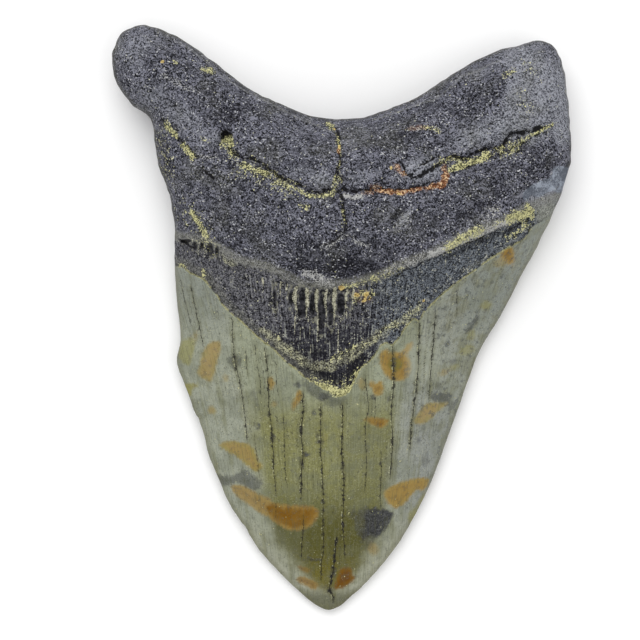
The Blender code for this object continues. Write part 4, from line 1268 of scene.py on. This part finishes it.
def bone_colour(b, at):
    """Slate-grey sandy bone: black specks and pale grains, painted shade in the pores, a painted highlight
    along the bevel's crest, smoother and paler on the lobes.
    """
    tone_and_shade = b.field("tone_and_shade")
    loose = 0.35 + 0.60 * b.ramp(at.clumps * 0.5 + at.lumps * 0.5, 0.42, 0.58)
    tone = ((at.sand - 0.5) * 0.44 + (at.grains - 0.5) * 0.40) * loose
    tone = tone + (at.small - 0.5) * 0.12 + (at.lumps - 0.5) * 0.14 + tone_and_shade * 0.035
    paint = Paint(at, b.ramp(tone, -0.095, 0.105), (4, 4, 9), (116, 117, 129))

    # fibres that run up both lobes and turn softly within 4 mm of the middle
    arm = (at.x * at.x + 4.0**2) ** 0.5
    across = at.y * 0.84 - arm * 0.54 + at.lumps * 1.6
    fibres = b.noise(b.combined(across, (arm * 0.84 + at.y * 0.54) * 0.14, 0.0), 0.7)
    paint.coat(b.ramp(fibres, 0.50, 0.68) * 0.40, (34, 34, 42))
    paint.coat(b.ramp(fibres, 0.46, 0.32) * 0.22, (142, 143, 150))

    # smoother, layered bone where the patches are pale; some pale patches are painted light, as on the
    # dimple's lower wall
    layers = b.combined(b.field("edge") + at.lumps * 2.2, at.x * 0.10, at.y * 0.10)
    layers = b.noise(layers, 0.55) * 0.35 + at.grains * 0.40 + at.sand * 0.25
    smoother = b.ramp(tone_and_shade, 0.10, 0.9) * 0.46
    layered = Paint(at, b.ramp(layers, 0.30, 0.68), (76, 78, 86), (178, 181, 187))
    paint.coat(smoother, layered)
    earthy = b.ramp(at.broad, 0.50, 0.68)
    paint.coat(earthy * 0.25, (40, 40, 32), (112, 112, 96))
    # painted shade where the patches are dark, such as above the bourlette's middle and on the dimple's
    # upper wall; elsewhere darker bone
    paint.coat(b.ramp(tone_and_shade, -0.2, -1.2) * 0.45, (20, 20, 28))

    bright = b.ramp(at.grains, 0.92, 0.99) * b.ramp(at.clumps, 0.38, 0.58)
    paint.coat(bright * (0.80 - 1.5 * smoother), (204, 205, 208))
    specks = b.ramp(at.grains, 0.20, 0.10) * (0.80 - 1.1 * smoother)
    paint.coat(specks, (10, 10, 14))
    # painted shade in the pores of the bone's relief
    paint.coat(b.ramp(b.field("pores"), 0.10, 0.34) * 0.6, (18, 18, 22))
    # painted highlight along the crest of the bevel on the root's upper edge
    crest = b.ramp(b.field("crest") + at.ragged * 0.8, 0.55, 0.9)
    paint.coat(crest * 0.3, (142, 143, 142))
    brim = b.ramp(b.field("edge") + at.ragged * 0.6, 1.1, 0.0)
    paint.coat(brim * 0.3, (92, 91, 70))
    apron = b.ramp(abs(b.field("root_side") - 0.5 + at.ragged * 0.8), 1.8, 0.5)
    paint.coat(apron * 0.6, (66, 66, 60), (160, 160, 150))
    return paint


def neck_colour(b, at):
    """The bourlette: dark slate with pale hairs along the growth, a mottled ridge and worn spots."""
    slanting = b.noise(b.combined(at.x - at.y * 0.5, (at.y + at.x * 0.4) * 0.08, 0.0), 0.36)
    hairs = at.hairs + (slanting - at.hairs) * b.ramp(at.x, 15.0, 20.0)
    streaky = 0.16 + 0.22 * b.ramp(at.x, -22.0, -12.0) * b.ramp(at.x, 13.0, 5.0)
    tone = at.sand * 0.30 + at.small * 0.22 + (hairs - 0.5) * streaky + at.grains * 0.11 + 0.195
    light = Paint(at, b.ramp(at.x, 2.0, 11.0), (97, 97, 103), (112, 118, 126))
    light.coat(b.ramp(at.x, -8.0, -14.0), (114, 114, 120))
    paint = Paint(at, b.ramp(tone, 0.43, 0.60), (10, 10, 15), light)

    low = b.ramp(at.y, 0.0, -3.0) * b.ramp(abs(at.x + 4.0), 13.0, 9.0)
    paint.coat(low * 0.5, (20, 20, 30))
    hair = b.ramp(hairs + (at.small - 0.5) * 0.5, 0.62, 0.68) * (0.22 + 0.38 * low)
    paint.coat(hair, (190, 192, 176))
    near_enamel = b.field("enamel_side") + at.ragged * 0.7
    fringe = b.ramp(near_enamel, -2.4, -1.2)
    bright = b.ramp(at.grains + fringe * 0.10, 0.92, 0.98) * b.ramp(at.clumps, 0.40, 0.60)
    paint.coat(bright * 0.75, (182, 181, 168))
    paint.coat(b.ramp(at.grains, 0.16, 0.08) * 0.6, (12, 12, 16))
    # darker where the patches are dark: partly painted shade
    paint.coat(b.ramp(b.field("tone_and_shade"), -0.1, -0.8) * 0.75, (16, 16, 21))
    strip = b.ramp(near_enamel, -2.3, -1.2) * b.ramp(at.x, 2.0, -6.0)
    paint.coat(strip * 0.5, (50, 50, 48), (118, 118, 110))

    ridge = b.ramp(b.field("ridge") * (0.55 + at.clumps) + at.ragged * 0.6, 0.35, 0.9)
    ridge = ridge * (0.26 + 0.40 * b.ramp(at.clumps + at.grains * 0.3, 0.50, 0.80))
    mottle = b.ramp(at.sand * 0.45 + at.small * 0.35 + at.grains * 0.20, 0.38, 0.62)
    paint.coat(ridge, Paint(at, mottle, (58, 57, 46), (188, 187, 156)))
    slot = b.ramp(b.field("slot") + (at.hairs - 0.5) * 2.8 + at.ragged * 1.4, 0.55, 0.95)
    paint.coat(slot * 0.68, (18, 18, 22))
    worn = b.ramp(b.field("tone_and_shade") + at.ragged * 0.3, 0.3, 1.2)
    paint.coat(worn * 0.75, (92, 94, 86), (166, 168, 158))
    return paint


def pits_and_ribs(b, at, paint):
    """Black pits in the bourlette's upper edge, and the pale ribs between them."""
    pit = b.field("pit") + at.ragged * 0.24
    brink = b.ramp(abs(pit + 0.12), 0.22, 0.05) * b.ramp(at.small, 0.45, 0.6)
    paint.coat(brink * 0.5, (140, 139, 118))
    inside = Paint(at, b.ramp(at.small, 0.40, 0.62), (8, 8, 11), (54, 54, 58))
    paint.coat(b.ramp(pit, 0.0, 0.16) * 0.92, inside)
    rib = b.ramp(b.field("rib") + at.ragged * 0.28, -0.06, 0.08)
    paint.coat(rib * 0.85, (72, 70, 48), (208, 206, 182))


def enamel_base(b, at):
    """Olive in the middle, grey-green towards the cutting edges, browner near the tip. The paler edges are
    partly a painted reflection, with a painted sheen along them near the tip.
    """
    core = Paint(at, b.ramp(at.y, -12.0, -22.0), (142, 147, 126), (122, 122, 78))
    core.coat(b.ramp(at.y, -31.0, -43.0), (78, 76, 30))
    core.coat(b.ramp(at.y, -46.0, -54.0), (98, 90, 20))

    # the margins' grey-green: partly the enamel's own colour, partly a painted reflection of the pale
    # surroundings
    side = Paint(at, b.ramp(at.x, 4.0, 16.0), (145, 149, 134), (138, 142, 132))
    outer = b.ramp(at.y, -8.0, 6.0) * b.ramp(abs(at.x), 18.0, 26.0)
    side.coat(outer * 0.7, (118, 124, 119))
    warm = b.ramp(at.lumps + (at.small - 0.5) * 0.6, 0.46, 0.62) * b.ramp(at.x, 16.0, 24.0)
    side.coat(warm * 0.40, (124, 121, 96))
    side.coat(b.ramp(at.y, -34.0, -50.0) * 0.6, (140, 142, 116))
    bluish = b.ramp(at.y + at.x * 0.4, -4.0, -16.0) * b.ramp(at.x, 9.0, 19.0)
    side.coat(bluish * 0.6, (134, 137, 136))
    paint = Paint(at, b.ramp(b.field("core") + (at.lumps - 0.5) * 0.7, 0.05, 0.95), side, core)

    # painted sheen: a paler band along the cutting edges near the tip, standing in for the light the enamel
    # reflects there
    painted_sheen = b.ramp(b.field("edge"), 4.6, 0.6) * b.ramp(at.y, -36.0, -50.0) * b.ramp(at.y, -58.5, -55.5)
    paint.coat(painted_sheen * 0.66, (164, 165, 148))
    paint.coat(b.ramp(at.y, -55.0, -57.8) * 0.85, (94, 94, 74))

    # grains and hairs that show more towards the bourlette
    crisp = b.ramp(at.y, -46.0, -30.0)
    paint.coat(b.ramp(at.grains, 0.78, 1.0) * (0.08 + 0.08 * crisp), (186, 186, 162))
    paint.coat(b.ramp(at.grains, 0.24, 0.0) * (0.24 + 0.12 * crisp), (56, 56, 42))
    paint.coat(b.ramp(at.sand, 0.55, 0.70) * (0.08 + 0.14 * crisp), (172, 172, 144))
    paint.coat(b.ramp(at.hairs, 0.42, 0.30) * (0.12 + 0.16 * crisp), (164, 164, 134))
    cloud = b.ramp(at.broad + (at.lumps - 0.5) * 0.8, 0.40, 0.64)
    paint.coat(cloud * (0.16 + 0.24 * crisp), (112, 116, 100))
    browner = b.ramp(at.bands + (at.lumps - 0.5) * 0.4, 0.48, 0.70)
    browner = browner * (0.35 - 0.18 * b.ramp(at.y, -16.0, -6.0))
    paint.coat(browner, (106, 106, 66))
    brink = b.ramp(b.field("edge") + at.ragged * 0.5, 1.4, 0.2)
    paint.coat(brink * 0.4, (98, 96, 68))
    return paint


def enamel_stains(b, at, paint):
    """Ochre and grey mineral stains that lie in the enamel."""
    depth = b.field("ochre") + (at.small - 0.5) * 1.2 + (at.sand - 0.5) * 0.5
    tone = b.field("ochre_tone") * (0.74 + 0.28 * b.ramp(depth, 0.0, 1.2)) + (at.clumps - 0.5) * 0.4
    ochre = Paint(at, b.ramp(tone, 0.0, 0.5), (132, 129, 66), (146, 122, 66))
    ochre.coat(b.ramp(tone, 0.45, 0.95), (112, 76, 2))
    ochre.coat(b.ramp(tone, 0.95, 1.35), (100, 62, 0))
    ochre.coat(b.ramp(at.small, 0.48, 0.70) * 0.3, (106, 84, 28))
    swirl = b.ramp(b.field("swirl") + at.ragged * 0.5, -0.2, 0.9)
    ochre.coat(swirl * 0.65, (98, 98, 40))
    paint.coat(b.ramp(depth, -0.48, 0.38) * b.field("ochre_strength"), ochre)
    grey = b.ramp(b.field("grey") + (at.small - 0.5) * 1.6, -0.48, 0.40) * b.field("grey_strength")
    paint.coat(grey * 0.95, (26, 26, 30), (70, 71, 74))


def enamel_specks(b, at, paint):
    """Hairlines along the growth, dark spots and specks, and a paler place in the right half."""
    hairlines = b.ramp(at.hairs + (at.lumps - 0.5) * 0.3, 0.52, 0.64)
    paint.coat(hairlines * 0.34, (82, 84, 62))
    right = b.ramp(at.x + at.y * 0.3, 6.0, 14.0)
    spots = b.ramp(at.small + (at.clumps - 0.5) * 0.5, 0.53, 0.68)
    paint.coat(spots * (0.20 + 0.42 * right), (80, 84, 82))
    clear = b.ramp(abs(at.x - 16.5), 4.5, 2.0) * b.ramp(abs(at.y + 8.5), 5.0, 2.5)
    paint.coat(clear * 0.42, (162, 166, 148))
    specks = b.ramp(at.grit, 0.62, 0.70) * b.ramp(at.clumps, 0.48, 0.60)
    paint.coat(specks * 0.6, (62, 62, 46))


def enamel_cracks(b, at, paint):
    """The long cracks: a stained band, dark blots, a broken black line and glints beside it."""
    side = b.field("crack_side") + (at.clumps - 0.5) * 0.5 + (at.small - 0.5) * 0.4
    dark = b.field("crack_dark") * b.ramp(b.field("crack_near"), 1.6, 1.2)
    paint.coat(b.ramp(abs(side), 1.0, 0.1) * dark * 0.30, (88, 84, 42))
    blots = b.ramp(abs(side), 0.55, 0.2) * b.ramp(at.small + dark * 0.1, 0.62, 0.70) * dark
    paint.coat(blots * 0.85, (36, 35, 28))
    dots = b.ramp(at.small * 0.7 + at.sand * 0.6 - 0.72 + dark * 0.16, -0.08, 0.08)
    line = b.ramp(abs(side) - dark * 0.035, 0.11, 0.01) * b.ramp(dark, 0.02, 0.5) * (0.18 + 0.82 * dots)
    paint.coat(line * 0.95, (26, 25, 22))
    glints = b.ramp(abs(side + 0.22), 0.18, 0.06) * b.ramp(at.grains, 0.62, 0.72)
    glints = glints * b.ramp(dark, 0.7, 1.0) * b.ramp(at.clumps, 0.48, 0.56)
    paint.coat(glints * 0.6, (190, 190, 156))


def washed_and_split(b, at, paint):
    """The flaked edge, pale washed patches with some painted highlights among them, and the painted shade
    in the fissures and the nutrient hole.
    """
    flake = b.ramp(b.field("flake") + at.ragged * 0.7, -0.1, 0.4)
    smoothed = b.ramp(at.lumps + (at.sand - 0.5) * 0.5, 0.38, 0.62)
    paint.coat(flake * 0.8, Paint(at, smoothed, (88, 94, 104), (158, 166, 178)))
    # pale washed bone, with some painted highlights among it
    pale = b.ramp(b.field("pale") + at.even, 0.95, 1.2)
    paint.coat(pale * 0.75, Paint(at, at.grit, (112, 112, 112), (220, 220, 216)))
    # painted shade: a black line in the fissures and the nutrient hole
    fissure_shade = b.field("fissure_shade") + (at.small - 0.5) * 1.5 + (at.sand - 0.5) * 0.7
    paint.coat(b.ramp(fissure_shade, -0.06, 0.08) * 0.95, (10, 9, 11))


def laid_on(b, at, paint):
    """What has settled on the tooth: sediment, a seam of it along the enamel's edge, rust, gold."""
    share = b.field("sediment")
    stained = b.ramp(share + at.clumps * 1.2, 0.85, 1.45)
    paint.coat(stained * 0.50, (50, 50, 34), (128, 128, 92))
    caught = b.ramp(share * 0.55 + at.clumps * 0.5 + at.grit * 0.7 + at.grains * 0.36, 1.05, 1.22)
    grainy = b.ramp(at.sand * 0.6 + at.grains * 0.4, 0.30, 0.68)
    paint.coat(caught * 0.9, Paint(at, grainy, (88, 88, 56), (212, 209, 154)))
    seam = b.ramp(abs(b.field("enamel_side") + (at.small - 0.5) * 0.4), 0.26, 0.10)
    seam = seam * b.ramp(at.clumps, 0.36, 0.52) * b.ramp(b.field("edge"), 0.3, 1.2)
    seam = seam * b.ramp(at.x, 39.0, 37.0)
    paint.coat(seam * 0.62, (112, 110, 66), (200, 196, 144))
    rust = b.ramp(b.field("rust") + at.ragged * 0.8, -0.1, 0.3) * b.field("rust_strength")
    rusty = Paint(at, at.even, (30, 16, 12), (140, 88, 54))
    rusty.coat(b.ramp(at.grains, 0.62, 0.80), (218, 184, 142))
    paint.coat(rust * 0.9, rusty)
    gold = b.ramp(b.field("gold") + at.ragged * 0.4, -0.05, 0.1)
    paint.coat(gold * 0.9, (140, 112, 52), (222, 200, 132))


def fossil_finish():
    """The tooth's one finish: bone, bourlette and enamel, with what marks and covers them."""
    b = Board("fossil")
    at = Place(b)
    on_root = b.ramp(b.field("root_side") + at.ragged * 1.2, -0.6, 0.6)
    worn = 0.25 + 1.0 * b.ramp(at.x, 36.0, 41.0)
    on_crown = b.ramp(b.field("enamel_side") + at.ragged * worn, -0.08, 0.08)
    enamel = enamel_base(b, at)
    for layer in (enamel_stains, enamel_specks, enamel_cracks):
        layer(b, at, enamel)
    paint = Paint(at, on_root, neck_colour(b, at), bone_colour(b, at))
    pits_and_ribs(b, at, paint)
    paint.coat(on_crown, enamel)
    washed_and_split(b, at, paint)
    laid_on(b, at, paint)
    rough = 0.84 - 0.34 * on_crown + (at.small - 0.5) * 0.2
    height = (1 - on_crown) * (at.sand * 0.12 + at.grit * 0.08 + at.grains * 0.04 + at.small * 0.14)
    height = height + on_crown * (at.small * 0.018 + at.hairs * 0.02)
    normal = b.add("ShaderNodeBump", {}, {"Strength": 0.9, "Distance": MM, "Height": height})
    return b.finish(Base_Color=paint.wire, Roughness=rough, Normal=normal, Specular_IOR_Level=0.13)


def floor_finish():
    b = Board("studio_floor")
    return b.finish(Base_Color=(0.96, 0.96, 0.96, 1), Roughness=0.9)


# ---------------------------------------------------------------- studio, in metres

FLOOR_HALF = 1.5
FLOOR_DROP = 0.0001  # so that the floor never shows through the face that lies on it
SKY_STRENGTH = 0.86
LAMPS = [("key", (-0.15, 0.60, 0.70), 3.8), ("fill", (0.5, -0.3, 0.8), 0.8)]  # name, place, power
LAMP_SIZE = 0.8
LENS = 120
SENSOR = 36
VIEW_MIDDLE = (-0.0044, -0.0002)
VIEW_WIDTH = 0.1318  # what the picture shows from side to side, at the level of the tooth's edges
VIEW_LEVEL = 0.004


def area_light(name, place, power):
    """A round lamp that shines at the tooth."""
    data = bpy.data.lights.new(name, "AREA")
    data.shape = "DISK"
    data.size = LAMP_SIZE
    data.energy = power
    lamp = bpy.data.objects.new(name, data)
    lamp.location = place
    lamp.rotation_euler = (-Vector(place)).to_track_quat("-Z", "Y").to_euler()
    bpy.context.scene.collection.objects.link(lamp)


def build_studio():
    """The floor, the light and the camera straight above the tooth."""
    floor_mesh = bpy.data.meshes.new("floor")
    r = FLOOR_HALF
    floor_mesh.from_pydata([(-r, -r, 0), (r, -r, 0), (r, r, 0), (-r, r, 0)], [], [(0, 1, 2, 3)])
    floor = bpy.data.objects.new("floor", floor_mesh)
    floor.location.z = -FLOOR_DROP
    floor.data.materials.append(floor_finish())
    bpy.context.scene.collection.objects.link(floor)

    world = bpy.data.worlds.new("studio")
    world.use_nodes = True
    sky = world.node_tree.nodes["Background"].inputs
    sky["Color"].default_value = (1, 1, 1, 1)
    sky["Strength"].default_value = SKY_STRENGTH
    bpy.context.scene.world = world
    for lamp in LAMPS:
        area_light(*lamp)

    scene = bpy.context.scene
    scene.view_settings.view_transform = "Standard"
    lens = bpy.data.cameras.new("camera")
    lens.lens = LENS
    lens.sensor_width = SENSOR
    camera = bpy.data.objects.new("camera", lens)
    camera.location = (*VIEW_MIDDLE, VIEW_LEVEL + VIEW_WIDTH * LENS / SENSOR)
    scene.collection.objects.link(camera)
    scene.camera = camera


tooth = build_tooth()
tooth.data.materials.append(fossil_finish())
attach(tooth, "root")
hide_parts("megalodon_tooth")
build_studio()
